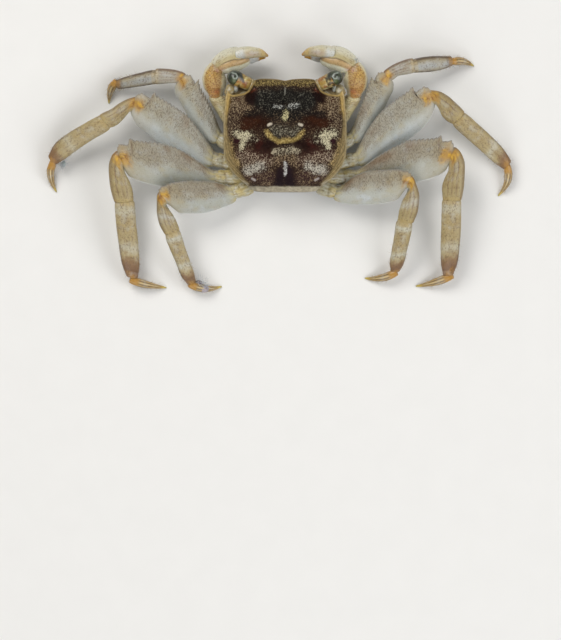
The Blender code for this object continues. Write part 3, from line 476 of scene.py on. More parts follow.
class Look:
    """A material and short ways to add nodes to it. Sizes are in millimetres."""

    def __init__(self, name, roughness=0.4, coat=0.0, shine=0.5, glow=0.0):
        self.material = bpy.data.materials.new(name)
        self.material.use_nodes = True
        self.tree = self.material.node_tree
        self.shader = self.tree.nodes["Principled BSDF"]
        self.shader.inputs["Roughness"].default_value = roughness
        self.shader.inputs["Coat Weight"].default_value = coat
        self.shader.inputs["Coat Roughness"].default_value = 0.18
        self.shader.inputs["Specular IOR Level"].default_value = shine
        if glow:
            self.shader.inputs["Subsurface Weight"].default_value = glow
            self.shader.inputs["Subsurface Radius"].default_value = (1.0, 0.7, 0.45)
            self.shader.inputs["Subsurface Scale"].default_value = 0.0006

    def add(self, kind, inputs=(), **settings):
        """A node with the given settings. An input is either a value or another node's output."""
        node = self.tree.nodes.new("ShaderNode" + kind)
        for key, value in settings.items():
            setattr(node, key, value)
        for key, value in dict(inputs).items():
            if hasattr(value, "is_linked"):
                self.tree.links.new(value, node.inputs[key])
            elif value is not None:
                node.inputs[key].default_value = value
        return node

    def value(self, name):
        return self.add("Attribute", attribute_name=name).outputs["Fac"]

    def colour(self, name):
        return self.add("Attribute", attribute_name=name).outputs["Color"]

    def place(self, stretch=(1, 1, 1), name="place"):
        """Coordinates in mm: along, across and through a limb, or in the crab's frame."""
        if name:
            vector = self.add("Attribute", attribute_name=name).outputs["Vector"]
        else:
            vector = self.add("TexCoord").outputs["Object"]
            stretch = [1000 * part for part in stretch]
        return self.add("VectorMath", {0: vector, 1: tuple(stretch)}, operation="MULTIPLY").outputs[0]

    def noise(self, where, size, detail=2.0, rough=0.5):
        return self.add("TexNoise", {"Vector": where, "Scale": 1 / size, "Detail": detail,
                                     "Roughness": rough}).outputs["Fac"]

    def cells(self, where, size):
        return self.add("TexVoronoi", {"Vector": where, "Scale": 1 / size}).outputs["Distance"]

    def wobbled(self, where, base, size, reach):
        """The base coordinates moved about by a soft noise, so that nothing on them lies straight."""
        cloud = self.add("TexNoise", {"Vector": where, "Scale": size, "Detail": 2.0}).outputs["Color"]
        moved = self.add("VectorMath", {0: cloud, 1: (0.5,) * 3}, operation="SUBTRACT").outputs[0]
        return self.add("VectorMath", {0: moved, 1: (reach,) * 3, 2: base}, operation="MULTIPLY_ADD").outputs[0]

    def maths(self, operation, a, b=None, c=None):
        return self.add("Math", {0: a, 1: b, 2: c}, operation=operation).outputs[0]

    def times(self, a, b):
        return self.maths("MULTIPLY", a, b)

    def ease(self, low, high, value):
        return self.add("MapRange", {"Value": value, "From Min": low, "From Max": high},
                        interpolation_type="SMOOTHSTEP").outputs["Result"]

    def mix(self, amount, first, second, mode="MIX"):
        node = self.add("Mix", data_type="RGBA", blend_type=mode, clamp_factor=True)
        for socket, value in ((node.inputs[0], amount), (node.inputs[6], first), (node.inputs[7], second)):
            if hasattr(value, "is_linked"):
                self.tree.links.new(value, socket)
            elif isinstance(value, str):
                socket.default_value = (*rgb(value), 1.0)
            else:
                socket.default_value = value
        return node.outputs[2]

    def shade(self, colour, amount, low, high):
        """The colour made darker or lighter, from low to high as the amount goes from 0 to 1."""
        level = self.add("MapRange", {"Value": amount, "To Min": low, "To Max": high}).outputs["Result"]
        grey = self.add("CombineColor", {0: level, 1: level, 2: level}).outputs[0]
        return self.mix(1.0, colour, grey, "MULTIPLY")

    def bump(self, height, distance, strength, under=None):
        return self.add("Bump", {"Height": height, "Distance": distance * MM, "Strength": strength,
                                 "Normal": under}).outputs["Normal"]

    def finish(self, colour, normal=None, roughness=None):
        self.tree.links.new(colour, self.shader.inputs["Base Color"])
        if normal is not None:
            self.tree.links.new(normal, self.shader.inputs["Normal"])
        if roughness is not None:
            self.tree.links.new(roughness, self.shader.inputs["Roughness"])
        return self.material


def back_look():
    """Dark grains in a pale ground, or pale specks on a dark one, as the share of pale says."""
    look = Look("back shell", 0.5, coat=0.0, shine=0.07)
    where = look.place(name=None)
    grain = look.cells(look.wobbled(where, where, 1.4, 0.5), 0.25)
    fine = look.noise(where, 0.22, 3.0)
    patchy = look.noise(where, 1.1, 2.0)
    share = look.value("share")
    level = look.maths("ADD", share, look.times(look.maths("SUBTRACT", patchy, 0.5), 0.3))
    level = look.maths("MULTIPLY_ADD", level, -0.52, 0.78)
    over = look.maths("ADD", look.maths("SUBTRACT", grain, level), look.times(fine, 0.12))
    specks = look.times(look.ease(-0.1, 0.28, over), look.ease(0.0, 0.45, share))
    pale = look.shade(look.colour("pale"), fine, 0.65, 1.3)
    dark = look.shade(look.colour("tint"), look.noise(where, 0.5, 3.0), 0.35, 1.45)
    colour = look.mix(specks, dark, pale)
    normal = look.bump(look.ease(0.55, 0.0, grain), 0.08, 0.8)
    normal = look.bump(fine, 0.03, 0.5, normal)
    rough = look.add("MapRange", {"Value": fine, "To Min": 0.38, "To Max": 0.62}).outputs[0]
    return look.finish(colour, normal, rough)


def limb_look(name, dots, size, stretch, relief, roughness=0.42, coat=0.1, lines=0.0, most=0.5, ripples=False):
    """Shell with its own tint, mottled, with short dark dashes and low scales where the grain value says.
    The scales are cells, or wavy ripples. The grain lowers the level that a dash has to pass."""
    look = Look(name, roughness, coat, shine=0.35, glow=0.1)
    where = look.place()
    grain = look.value("grain")
    moved = look.wobbled(where, look.place(stretch), 1.2, 0.3)
    scales = look.noise(moved, size, 1.0) if ripples else look.cells(moved, size)
    fine = look.noise(where, 0.25, 3.0)
    broad = look.noise(where, 1.8, 3.0, 0.6)
    other = look.noise(look.place((0.7, 1, 1)), 2.6, 3.0, 0.6)
    slope, start, ragged = (-0.2, 0.67, 0.06) if ripples else (-0.42, 0.86, 0.16)
    level = look.maths("MULTIPLY_ADD", grain, slope, start)
    over = look.maths("ADD", look.maths("SUBTRACT", scales, level), look.times(fine, ragged))
    dash = look.times(look.ease(0.0, 0.16, over), look.ease(0.0, 0.12, grain))
    colour = look.shade(look.colour("tint"), fine, 0.8, 1.2)
    colour = look.mix(look.times(look.ease(0.5, 0.8, broad), 0.35), colour, "b7bcbd")
    colour = look.mix(look.times(look.ease(0.52, 0.8, other), 0.4), colour, "a89669")
    if lines:
        streaks = look.noise(look.place((0.1, 1, 1)), 0.26, 2.0)
        colour = look.shade(colour, streaks, 1 - lines, 1 + lines)
    colour = look.mix(look.times(dash, most), colour, dots)
    height = look.times(look.ease(0.6, 0.05, scales), look.maths("ADD", grain, 0.15))
    normal = look.bump(height, relief, 0.8)
    return look.finish(colour, look.bump(fine, 0.025, 0.5, normal))


def plain_look(name, roughness=0.4, coat=0.2, glow=0.2, mottle=0.15, size=0.5, relief=0.02):
    """Shell with its own tint and fine mottling only."""
    look = Look(name, roughness, coat, glow=glow)
    where = look.place(name=None)
    fine = look.noise(where, size, 3.0)
    colour = look.shade(look.colour("tint"), fine, 1 - mottle, 1 + mottle)
    return look.finish(colour, look.bump(fine, relief, 0.5))


LOOKS = {
    "back": back_look(),
    "merus": limb_look("upper leg shell", "54432f", 0.14, (1.0, 0.32, 0.32), 0.14, most=0.56, ripples=True),
    "shin": limb_look("lower leg shell", "5a4530", 0.26, (0.7, 1.0, 1.0), 0.05, lines=0.1, most=0.45),
    "wrist": limb_look("wrist shell", "74451f", 0.2, (1.0, 0.7, 0.7), 0.08, most=0.62),
    "claw": limb_look("claw shell", "7a5c34", 0.28, (1, 1, 1), 0.04, 0.38, 0.2, most=0.5),
    "dactylus": limb_look("leg claw shell", "3c2a1c", 0.4, (0.3, 1, 1), 0.03, 0.35, 0.3, lines=0.2),
    "hip": limb_look("hip shell", "6c5638", 0.28, (0.5, 1, 1), 0.05, lines=0.15),
    "under": plain_look("underside shell", 0.42, 0.2, 0.3, 0.07, 0.9),
    "mouth": plain_look("mouth shell", 0.45, 0.15, 0.15, 0.14),
    "stalk": plain_look("eyestalk shell", 0.35, 0.25, 0.2, 0.3, 0.4),
    "cornea": plain_look("cornea", 0.34, 0.1, 0.0, 0.5, 0.18, 0.006),
    "hair": plain_look("hair", 0.5, 0.0, 0.0, 0.2, 0.6, 0.0),
    "fluff": plain_look("fluff", 0.8, 0.0, 0.3, 0.2, 0.4, 0.0),
}


# Carapace

TOP_ROWS, TOP_COLUMNS, WALL_ROWS = 170, 180, 20
SIDE_FRONT_Y, SIDE_REAR_Y = 9.0, -9.6
CREASE_FADE, ROUGH_FADE = 9.0, 4.0


def mirrored_edge(half, where):
    """y and z of an edge given by its right half, at places from left to right."""
    half = np.array(half)
    return follow(half[:, 0], half[:, 1:], np.abs(where))


def relief(x, y):
    """Lobes and grooves of the back above its smooth dome."""
    total = np.zeros_like(x)
    for centre_x, centre_y, wide, long, height in RELIEF:
        for side in (1, -1) if centre_x else (1,):
            total += height * bell(x, side * centre_x, wide) * bell(y, centre_y, long)
    return total


# Fine grooves and ridges of the right half of the back: path, half width, height
CREASES = [
    ([(0.0, 9.2), (0.0, 5.2)], 0.16, -0.12), ([(0.3, 5.0), (1.2, 3.4), (2.9, 2.9)], 0.2, -0.12),
    ([(3.5, 1.4), (3.3, 0.2), (2.5, -0.8), (1.2, -1.35), (0.0, -1.5)], 0.35, -0.16),
    ([(0.0, -1.95), (1.1, -1.9)], 0.13, -0.2), ([(2.7, -1.1), (3.5, -2.4), (3.1, -4.2)], 0.3, -0.2),
    ([(4.3, 1.7), (6.4, 3.0), (8.6, 3.3)], 0.3, -0.14), ([(2.5, 7.8), (2.9, 5.9)], 0.2, -0.15),
    ([(6.4, 7.3), (6.0, 5.4)], 0.25, -0.15), ([(0.9, 5.9), (2.3, 5.7)], 0.22, 0.1),
    ([(1.9, -3.1), (2.5, -3.3)], 0.3, 0.12), ([(6.0, -8.9), (6.7, -8.5)], 0.2, 0.1),
]


def from_side(across, y):
    """How far places lie inside the side edge."""
    side = np.array(SIDE_EDGE)[::-1]
    level = np.clip(y, SIDE_REAR_Y, SIDE_FRONT_Y)
    return follow(side[:, 1], side[:, 0], level.ravel()).reshape(y.shape) - across


def creases(x, y):
    """Height of the fine grooves and ridges, with the oblique lines beside the legs."""
    across = np.abs(x)
    total = np.zeros_like(x)
    for path, half, height in CREASES:
        total += height * bell(away(across, y, path), 0.0, half)
    inside = from_side(across, y)
    total += 0.2 * bell(inside, 0.28, 0.3) * ease(10.2, 8.6, y) * ease(-9.6, -8.0, y)
    oblique = ease(0.6, 1.0, inside) * ease(3.4, 2.2, inside) * ease(0.8, -1.5, y) * ease(-9.8, -8.5, y)
    total += 0.07 * np.cos(2 * np.pi * (inside - 0.25) / 0.62) * oblique
    return total


def back_points():
    """The top of the back, row by row from front to rear."""
    over = np.linspace(0, 1, TOP_COLUMNS)
    down = np.linspace(0, 1, TOP_ROWS)
    widest, corner = FRONT_EDGE[-1][0], BACK_EDGE[-1][0]
    front_x, back_x = (2 * over - 1) * widest, (2 * over - 1) * corner
    front = np.column_stack([front_x, mirrored_edge(FRONT_EDGE, front_x)])
    back = np.column_stack([back_x, mirrored_edge(BACK_EDGE, back_x)])
    side = np.array(SIDE_EDGE)
    level = (side[0, 1] - side[:, 1]) / (side[0, 1] - side[-1, 1])
    east = follow(level, side, down)
    west = east * (-1, 1, 1)
    o, d = over[None, :, None], down[:, None, None]
    corners = (west[0] * (1 - o) + east[0] * o) * (1 - d) + (west[-1] * (1 - o) + east[-1] * o) * d
    points = (front[None] * (1 - d) + back[None] * d + west[:, None] * (1 - o) + east[:, None] * o - corners)
    rise = (1 - np.abs(2 * over - 1) ** DOME_POWER)[None] * (1 - np.abs(2 * down - 1) ** DOME_POWER)[:, None]
    rise = np.maximum(rise, 0.0)
    x, y = points[..., 0], points[..., 1]
    points[..., 2] += DOME * rise ** DOME_EDGE + relief(x, y) * np.minimum(1.0, RELIEF_FADE * rise)
    points[..., 2] += creases(x, y) * np.minimum(1.0, CREASE_FADE * rise)
    points[..., 2] += 0.05 * noise(points * (1, 1, 0), 0.9, 3) * np.minimum(1.0, ROUGH_FADE * rise)
    return points


def walled(rim, level):
    """Points of the rim moved in and down onto a lower wall."""
    share, rear_z, front_z = WALLS[level]
    x, y = rim[:, 0] * share, (rim[:, 1] - WALL_CENTRE_Y) * share + WALL_CENTRE_Y
    forward = np.clip((y - WALL_RISE_Y) / WALL_RISE_LENGTH, 0, 1)
    ledge = ORBIT_LEDGE[level] * bell(np.abs(rim[:, 0]), ORBIT_X, ORBIT_WIDTH)
    y = y + np.where(y > ORBIT_FRONT_Y, ledge, 0.0)
    return np.column_stack([x, y, rear_z + (front_z - rear_z) * forward])


def mouth_floor_z(y):
    """Height of the lower face, which rises towards the mouth."""
    rise = np.clip((y - MOUTH_BACK_Y) / (MOUTH_FRONT_Y - MOUTH_BACK_Y), 0, 1)
    return FLOOR_Z + (FLOOR_FRONT_Z - FLOOR_Z) * rise


def floor_z(x, y):
    """Height of the carapace's lower face, with its bulging cheeks."""
    cheek_x, cheek_y, wide, long, deep = CHEEK
    return mouth_floor_z(y) - deep * bell(np.abs(x), cheek_x, wide) * bell(y, cheek_y, long)


# Middle lines of the golden band on the back and of the pale streaks inside the rim, right half
BAND = [(4.0, 1.6), (3.6, 0.6), (2.8, -0.5), (1.5, -1.15), (0.0, -1.4)]
RIM_LINE = [(11.4, -1.2), (10.9, -3.4), (10.2, -5.0), (9.6, -5.8)]
# Dark tones of the right half of the back, each over the ones before: colour, path, radius, softness
DARKS = [
    ("3e2c1f", [(9.6, 6.6), (10.2, 4.8)], 2.0, 1.2), ("33221a", [(10.4, 3.6), (9.9, 1.0)], 1.8, 1.2),
    ("260e03", [(5.0, 2.7), (7.4, 2.6)], 1.8, 1.4), ("341605", [(5.8, 3.2), (7.8, 2.0)], 0.5, 1.2),
    ("100e0c", [(0.0, 7.4), (4.8, 7.3), (3.8, 5.4), (0.0, 4.2)], 1.7, 0.9),
    ("160e0b", [(4.8, 4.7), (7.2, 4.2)], 0.9, 0.8), ("190806", [(6.5, 8.1), (7.1, 6.9)], 0.9, 0.5),
    ("2a100a", [(5.7, 9.0), (7.4, 8.4)], 0.28, 0.3), ("2b221a", [(0.0, 1.5), (2.2, 1.3)], 1.3, 0.7),
    ("312c24", [(0.0, 0.0), (1.9, 0.2)], 0.8, 0.5), ("1c0905", [(3.2, -1.9), (5.6, -2.2), (4.4, -3.5)], 1.2, 0.7),
    ("30100a", [(4.9, -1.3), (5.6, -2.6)], 0.6, 0.5), ("2e2118", [(0.0, -2.8), (2.4, -3.2)], 0.9, 0.6),
    ("371f17", [(8.8, -3.7), (4.0, -4.7)], 1.4, 1.1), ("36221f", [(3.2, -8.6), (7.2, -8.2)], 1.2, 1.0),
    ("1e1015", [(0.0, -6.9), (0.9, -9.4)], 1.2, 0.7), ("2e1418", [(9.6, -1.3)], 0.6, 0.3),
    ("3a180d", [(9.4, 7.1)], 0.45, 0.3), ("523a16", [(11.2, 7.4), (11.5, 5.0)], 0.6, 0.4),
    ("322414", [(0.0, 10.6), (5.6, 10.6)], 0.75, 0.3), ("6a5530", BAND[1:], 0.4, 0.4),
    ("45331c", RIM_LINE, 0.5, 0.5),
]
# How much of the pale ground shows: amount, path, radius, softness
PALES = [
    (0.46, [(9.6, 6.8), (10.0, 5.0)], 1.8, 0.9), (0.34, [(10.4, 3.4), (9.8, 0.8)], 1.8, 0.9),
    (0.1, [(5.0, 3.0), (7.6, 2.5)], 1.2, 1.3), (0.2, [(0.0, 8.0), (5.2, 7.6), (3.6, 5.2), (0.0, 4.8)], 1.5, 0.8),
    (0.01, [(6.9, 7.4)], 1.2, 0.5), (0.24, [(4.8, 8.0)], 0.7, 0.5), (0.6, [(7.2, 5.5)], 0.6, 0.5),
    (0.62, [(8.7, 7.5)], 0.5, 0.35), (0.52, [(0.0, 10.4), (5.5, 10.5)], 0.7, 0.4),
    (0.85, [(0.0, 4.4), (0.0, 3.4)], 0.5, 0.35), (0.6, [(1.0, 5.7), (2.2, 5.8)], 0.25, 0.3),
    (0.7, [(0.8, 5.6), (1.3, 5.1)], 0.2, 0.2), (0.7, [(0.0, 9.2), (0.0, 8.0)], 0.12, 0.15),
    (0.4, [(0.0, 0.5), (2.0, 0.7)], 0.9, 0.6), (0.06, [(2.4, -2.0), (5.4, -2.6), (3.6, -3.9)], 1.0, 0.5),
    (0.85, [(9.5, 0.3), (7.3, 0.1)], 0.5, 0.3), (0.85, [(8.4, -0.4), (7.8, -0.8)], 0.85, 0.35),
    (0.85, [(8.3, -1.3), (8.6, -2.4)], 0.6, 0.35), (0.3, [(5.8, -1.3), (6.6, -1.1)], 0.2, 0.35),
    (0.01, [(9.6, -1.3)], 0.5, 0.25),
    (0.5, [(0.0, -3.0), (1.6, -3.1)], 0.6, 0.4), (0.85, [(2.0, -3.0), (2.5, -3.5)], 0.35, 0.25),
    (0.5, [(0.0, -4.2), (2.0, -5.2)], 1.0, 0.7), (0.5, [(4.4, -5.0), (9.4, -4.3)], 1.1, 0.9),
    (0.6, [(8.2, -6.6), (7.2, -8.2)], 0.5, 0.6),
    (0.68, [(4.4, -6.3), (7.6, -6.2)], 0.6, 0.6), (0.8, [(5.2, -6.9), (7.2, -7.3)], 0.6, 0.5),
    (0.8, [(0.0, -5.4), (0.0, -7.9)], 0.22, 0.25), (0.04, [(1.2, -7.4), (0.8, -9.6)], 0.7, 0.45),
    (0.32, [(3.2, -7.6), (7.0, -8.9)], 0.9, 0.7), (0.45, [(3.2, -9.4), (4.6, -9.8)], 0.6, 0.5),
    (0.5, BAND[1:], 0.45, 0.45), (0.8, RIM_LINE, 0.5, 0.7),
]
# Tones of the pale ground, each over the ones before
CREAMS = [
    ("917f65", [(10.4, 6.0), (9.8, 1.0)], 2.2, 1.0), ("6f6d61", [(0.0, 7.0), (3.8, 6.8)], 2.4, 1.2),
    ("93804f", [(0.0, 10.5), (5.6, 10.5)], 0.8, 0.3), ("aaa27a", [(0.0, 4.4), (0.0, 3.4)], 0.7, 0.3),
    ("9c9c95", [(0.8, 5.5), (2.3, 5.7)], 0.5, 0.3), ("7a7463", [(0.0, 0.8), (2.0, 0.8)], 1.1, 0.5),
    ("bab294", [(9.4, 0.3), (7.0, 0.0), (8.4, -2.4)], 1.1, 0.4), ("a59c84", [(5.6, -1.2), (6.8, -1.0)], 0.6, 0.3),
    ("9b917a", [(0.0, -2.8), (2.5, -3.4)], 0.8, 0.4), ("8f7f6c", [(4.0, -4.8), (9.2, -4.6)], 1.5, 1.0),
    ("aba597", [(4.6, -6.4), (7.4, -7.0)], 1.0, 0.7), ("b4b2ae", [(0.0, -5.5), (0.0, -7.9)], 0.35, 0.2),
    ("ad9860", BAND[1:], 0.6, 0.4), ("9a8458", RIM_LINE, 0.8, 0.7),
]
# Marks of solid colour: colour, path, radius, softness, amount
SPOTS = [
    ("9a8549", BAND[2:], 0.16, 0.5, 0.45), ("bdb29f", [(2.8, 2.1), (3.3, 1.9)], 0.2, 0.15, 0.95),
    ("170d0a", [(0.0, -1.95), (1.1, -1.9)], 0.08, 0.12, 0.9),
    ("c2b7b0", [(6.0, -8.95), (6.6, -8.65)], 0.15, 0.15, 0.75),
    ("c8c6c2", [(0.0, -7.75)], 0.18, 0.18, 0.8), ("c0bcb6", [(0.0, -5.7), (0.0, -6.6)], 0.1, 0.15, 0.7),
    ("6b2f18", [(6.0, 9.05), (6.6, 8.65)], 0.1, 0.2, 0.4), ("a87f70", [(6.15, 9.2)], 0.08, 0.12, 0.6),
    ("a9a59b", [(6.7, -7.7), (7.2, -7.4)], 0.12, 0.14, 0.6), ("8c8a80", [(0.0, 8.1), (0.0, 9.3)], 0.05, 0.1, 0.7),
]


def laid(base, marks, x, y, blend):
    """Marks laid over a base one after another, with ragged edges."""
    result = np.tile(base, (len(x), 1))
    for value, path, radius, soft in marks:
        result = cover(result, value, ease(radius + soft, max(radius - soft, 0.0), away(x, y, path)) * blend)
    return result


def back_colours(points):
    """Dark tint, pale tint and share of the pale network over the back."""
    flat = points * (1, 1, 0)
    ragged = np.stack([noise(flat, 1.5, 11), noise(flat, 1.5, 12)], -1) * 0.5
    ragged += np.stack([noise(flat, 0.5, 13), noise(flat, 0.5, 14)], -1) * 0.25
    x, y = np.abs(points[:, 0] + ragged[:, 0] * 0.8), points[:, 1] + ragged[:, 1]
    tint = laid(rgb("2b1c13"), [(rgb(code), *rest) for code, *rest in DARKS], x, y, 0.95)
    pale = laid(rgb("7d6a52"), [(rgb(code), *rest) for code, *rest in CREAMS], x, y, 1.0)
    share = laid([0.2], PALES, x, y, 1.0)[:, 0]
    plain_x = np.abs(points[:, 0] + ragged[:, 0] * 0.15)
    plain_y = points[:, 1] + ragged[:, 1] * 0.15
    for colour, path, radius, soft, most in SPOTS:
        amount = most * ease(radius + soft, radius, away(plain_x, plain_y, path))
        tint = cover(tint, rgb(colour), amount)
        share = share * (1 - amount * 0.8)
    return tint, pale, share


def rim_colours(points, tint, share):
    """Tan margins: raised side rims, the front band and the pale rear band."""
    x, y = np.abs(points[:, 0]), points[:, 1]
    flat = points * (1, 1, 0)
    inside = from_side(x, y) + 0.1 * noise(flat, 0.7, 21)
    width = np.interp(y, [SIDE_REAR_Y, -8.0, -5.0, -1.5, 2.0, SIDE_FRONT_Y], [0.5, 1.0, 1.45, 1.0, 0.75, 1.05])
    soft = 0.3 + 0.5 * ease(0.0, -2.5, y)
    rim = ease(width + soft, width - 0.3, inside) * ease(9.6, 8.9, y)
    ahead_of_middle = ease(0.0, 3.0, y)
    tan = cover(rgb("9d895f"), rgb("b99c60"), ease(2.5, 5.5, y))
    wave = np.cos(2 * np.pi * (inside + 0.22 * y + 0.35 * noise(flat, 1.2, 27)) / 0.5)
    darker = ((0.36, ease(0.1, 0.8, wave) * ease(0.5, -1.5, y)), (0.5, bell(inside, width, 0.16) * ahead_of_middle),
              (0.3, bell(inside, 0.42, 0.07) * ahead_of_middle))
    for most, amount in darker:
        tan = tan * (1 - most * amount[:, None])
    tan = cover(tan, rgb("d9caa2"), bell(inside, 0.12, 0.16) * 0.5)
    front = np.array(FRONT_EDGE)
    ahead = follow(front[:, 0], front[:, 1], np.minimum(x, 11.5)) - y + 0.08 * noise(flat, 0.5, 22)
    edge = ease(0.3, 0.1, ahead) * ease(5.9, 5.2, x) * 0.85
    orbit = ease(0.55, 0.25, ahead) * ease(5.6, 6.2, x) * ease(11.6, 11.0, x)
    rear = ease(-10.0, -10.35, y + 0.12 * noise(flat, 0.7, 24))
    rear = np.clip(rear + ease(0.9, 0.4, inside) * ease(-8.6, -9.6, y), 0, 1)
    cream = rgb("b0a68f") * (1 + 0.25 * noise(flat, 0.6, 25) + 0.15 * noise(flat, 2.0, 26))[:, None]
    for colour, amount in ((tan, rim), (rgb("97804f"), edge), (rgb("b39a63"), orbit), (cream, rear)):
        tint = cover(tint, colour, amount)
    return tint, share * (1 - np.clip(rim + edge + orbit + rear, 0, 1))


def add_back():
    """The back, its rounded walls and its lower face, as one closed shell."""
    top = back_points()
    rows, columns = top.shape[:2]
    rim = ([(0, k) for k in range(columns - 1)] + [(k, columns - 1) for k in range(rows - 1)]
           + [(rows - 1, k) for k in range(columns - 1, 0, -1)] + [(k, 0) for k in range(rows - 1, 0, -1)])
    index = np.array([r * columns + c for r, c in rim])
    flat_top = top.reshape(-1, 3)
    edge = flat_top[index]
    steps = len(WALLS)
    levels = np.stack([edge] + [walled(edge, level) for level in range(steps)])
    places = np.linspace(0, steps, WALL_ROWS + 1)
    sheets = follow(range(steps + 1), levels.reshape(steps + 1, -1), places).reshape(len(places), -1, 3)
    floor = walled(flat_top, steps - 1)
    inner = np.pad(np.ones((rows - 2, columns - 2), bool), 1).ravel()
    floor[inner, 2] = floor_z(floor[inner, 0], floor[inner, 1])
    count = len(index)
    start = len(flat_top)
    middle = sheets[1:-1].reshape(-1, 3)
    below = start + len(middle)
    loops = [index] + [start + k * count + np.arange(count) for k in range(WALL_ROWS - 1)] + [below + index]
    faces = [grid_faces(rows, columns, False), grid_faces(rows, columns, False)[:, ::-1] + below]
    for upper, lower in zip(loops, loops[1:]):
        faces.append(np.stack([upper, lower, np.roll(lower, -1), np.roll(upper, -1)], -1))
    points = np.concatenate([flat_top, middle, floor])
    patch = Patch(points, faces).outward()
    tint, pale, share = back_colours(points)
    tint, share = rim_colours(points, tint, share)
    lower = np.ones(len(points))
    lower[:start] = 0.0
    lower[start:below] = np.repeat(ease(0.0, 1.2, places[1:-1]), count)
    x, y, z = np.abs(points[:, 0]), points[:, 1], points[:, 2]
    front = ease(6.4, 5.6, x) * ease(8.2, 8.6, z) * ease(7.0, 8.0, y)
    wall = cover(rgb("9a9072") * (1 + 0.12 * noise(points, 1.0, 31))[:, None], rgb("54401f"), front)
    patch.values["tint"] = cover(tint, wall, lower)
    patch.values["pale"] = cover(pale, cover(rgb("b5ad92"), rgb("a38d58"), front), lower)
    patch.values["share"] = share * (1 - lower) + (0.85 - 0.2 * front) * lower
    build("carapace_shell", patch, "back", "back_shell", "carapace")


# Limbs

UPPER_COLUMNS, SHIN_COLUMNS, TOE_COLUMNS, HIP_COLUMNS = 88, 60, 44, 48
LEG_POWER, SPINE_PITCH, TOE_ROOT = 2.5, 0.85, 0.12
SHIN_HAIRS, TOE_HAIRS, HAIR_RADIUS, THREAD_RADIUS, HAIR_POINTS = 70, 110, 0.022, 0.04, 7
# Hairs stay above the first height, and those rooted below the second one lie flatter
LEAST_HAIR_Z, LOW_ROOT_Z = 0.02, 1.2


def read(patch):
    """Share of the length, wide, high and place of each point of a limb."""
    return [patch.values[key] for key in ("share", "wide", "high", "place")]


def beads(patch, pitch, width):
    """1 at the middle of each step along a limb, fading either side."""
    return bell((patch.values["along"] / pitch) % 1.0, 0.5, width)


def set_grain(patch, grain):
    """How strongly the dashes and scales of a limb show."""
    patch.values["grain"] = np.clip(grain, 0, 1)


def stains(amount, golden, place, seed, most):
    """Layers of orange skin at a joint, with golden patches and brown veins."""
    veins = bell(noise(place * (0.4, 1, 1), 0.7, seed), 0.0, 0.09)
    return [("ab7d26", amount * most), ("c9a03a", amount * golden * 0.8), ("6d431c", amount * veins * 0.7)]


def limb(band, count, power=2.2, pitch=0.15, neck=0.6, size=0.84, lip=0.3, rim=0.25, toward=None, cap=0.12):
    """A tube with a narrower neck before its start, which fits into the piece before, and a rim past its end.
    Its share runs from 0 to 1 between these."""
    outer, inner, thick = (np.array(part, float) for part in band)
    middle, half = (outer + inner) / 2, (outer - inner) / 2
    back = middle[0] - middle[1] if toward is None else np.asarray(toward) - middle[0]
    back = back - half[0] * (back @ half[0]) / (half[0] @ half[0])
    back, ahead = unit(back), unit(middle[-1] - middle[-2])
    # Distance from the end and size of the rings before and after the band
    before = [(lip + neck, size * 0.92), (lip + 0.12, size), (lip, 0.95)]
    after = [(rim, 0.95)] if rim else []
    middle = np.vstack([middle[0] + back * far for far, _ in before] + [middle]
                       + [middle[-1] + ahead * far for far, _ in after])
    half, thick = (np.concatenate([[row[0] * part for _, part in before], row]
                                  + [[row[-1] * part] for _, part in after]) for row in (half, thick))
    patch = tube(middle + half, middle - half, thick, count, power, (cap, cap), pitch)
    values = patch.values
    length = values["along"].max() - neck - lip - rim
    values["along"] = values["along"] - neck - lip
    values["share"] = values["along"] / length
    return patch


def at_share(line, share):
    """Places at shares of a polyline's reach along the line from its first to its last point."""
    line = np.asarray(line, float)
    first, reach = line[0], line[-1] - line[0]
    shares = np.maximum.accumulate((line - first) @ reach / (reach @ reach) + 1e-4 * np.arange(len(line)))
    share = np.asarray(share, float)
    k = np.clip(np.searchsorted(shares[1:], share), 0, len(line) - 2)
    part = (share - shares[k]) / (shares[k + 1] - shares[k])
    return line[k] + (line[k + 1] - line[k]) * part[..., None]


def plain_front(front):
    """The front edge of an upper leg without the notch before its end, and the notch's share of it."""
    front = np.array(front, float)
    if len(front) < 6:
        return front, 1.0
    reach = front[-1] - front[0]
    joined = (front[-3] + front[-2]) / 2
    return np.vstack([front[:-3], joined, front[-1:]]), (front[-3] - front[0]) @ reach / (reach @ reach)


def merus_band(leg, front):
    """Outer edge, inner edge and thickness of an upper leg, tilted about its length."""
    reach = front[-1] - front[0]
    base_z, knee_z = leg["heights"][:2]
    outer, inner, thick = [], [], []
    for point in front:
        share = (point - front[0]) @ reach / (reach @ reach)
        across = at_share(leg["rear"], share)
        z = base_z + (knee_z - base_z) * share
        rise = np.linalg.norm(point - across) / 2 * math.tan(MERUS_TILT)
        outer.append((*point, z + rise))
        inner.append((*across, z - rise))
        thick.append(MERUS_THICKNESS[0] + MERUS_THICKNESS[1] * math.sin(math.pi * share))
    return outer, inner, thick


def shin_band(edges, start_z, end_z, thicknesses):
    """Outer edge, inner edge and thickness of a lower limb, from its edges given in pairs."""
    pairs = [(np.array(edges[k], float), np.array(edges[k + 1], float)) for k in range(0, len(edges), 2)]
    outer, inner, thick = [], [], []
    for k, (far, near) in enumerate(pairs):
        share = k / (len(pairs) - 1)
        z = start_z + (end_z - start_z) * share
        rise = np.linalg.norm(far - near) / 2 * math.tan(SHIN_TILT)
        outer.append((*far, z + rise))
        inner.append((*near, z - rise))
        thick.append(thicknesses[round(share * (len(thicknesses) - 1))])
    return outer, inner, thick


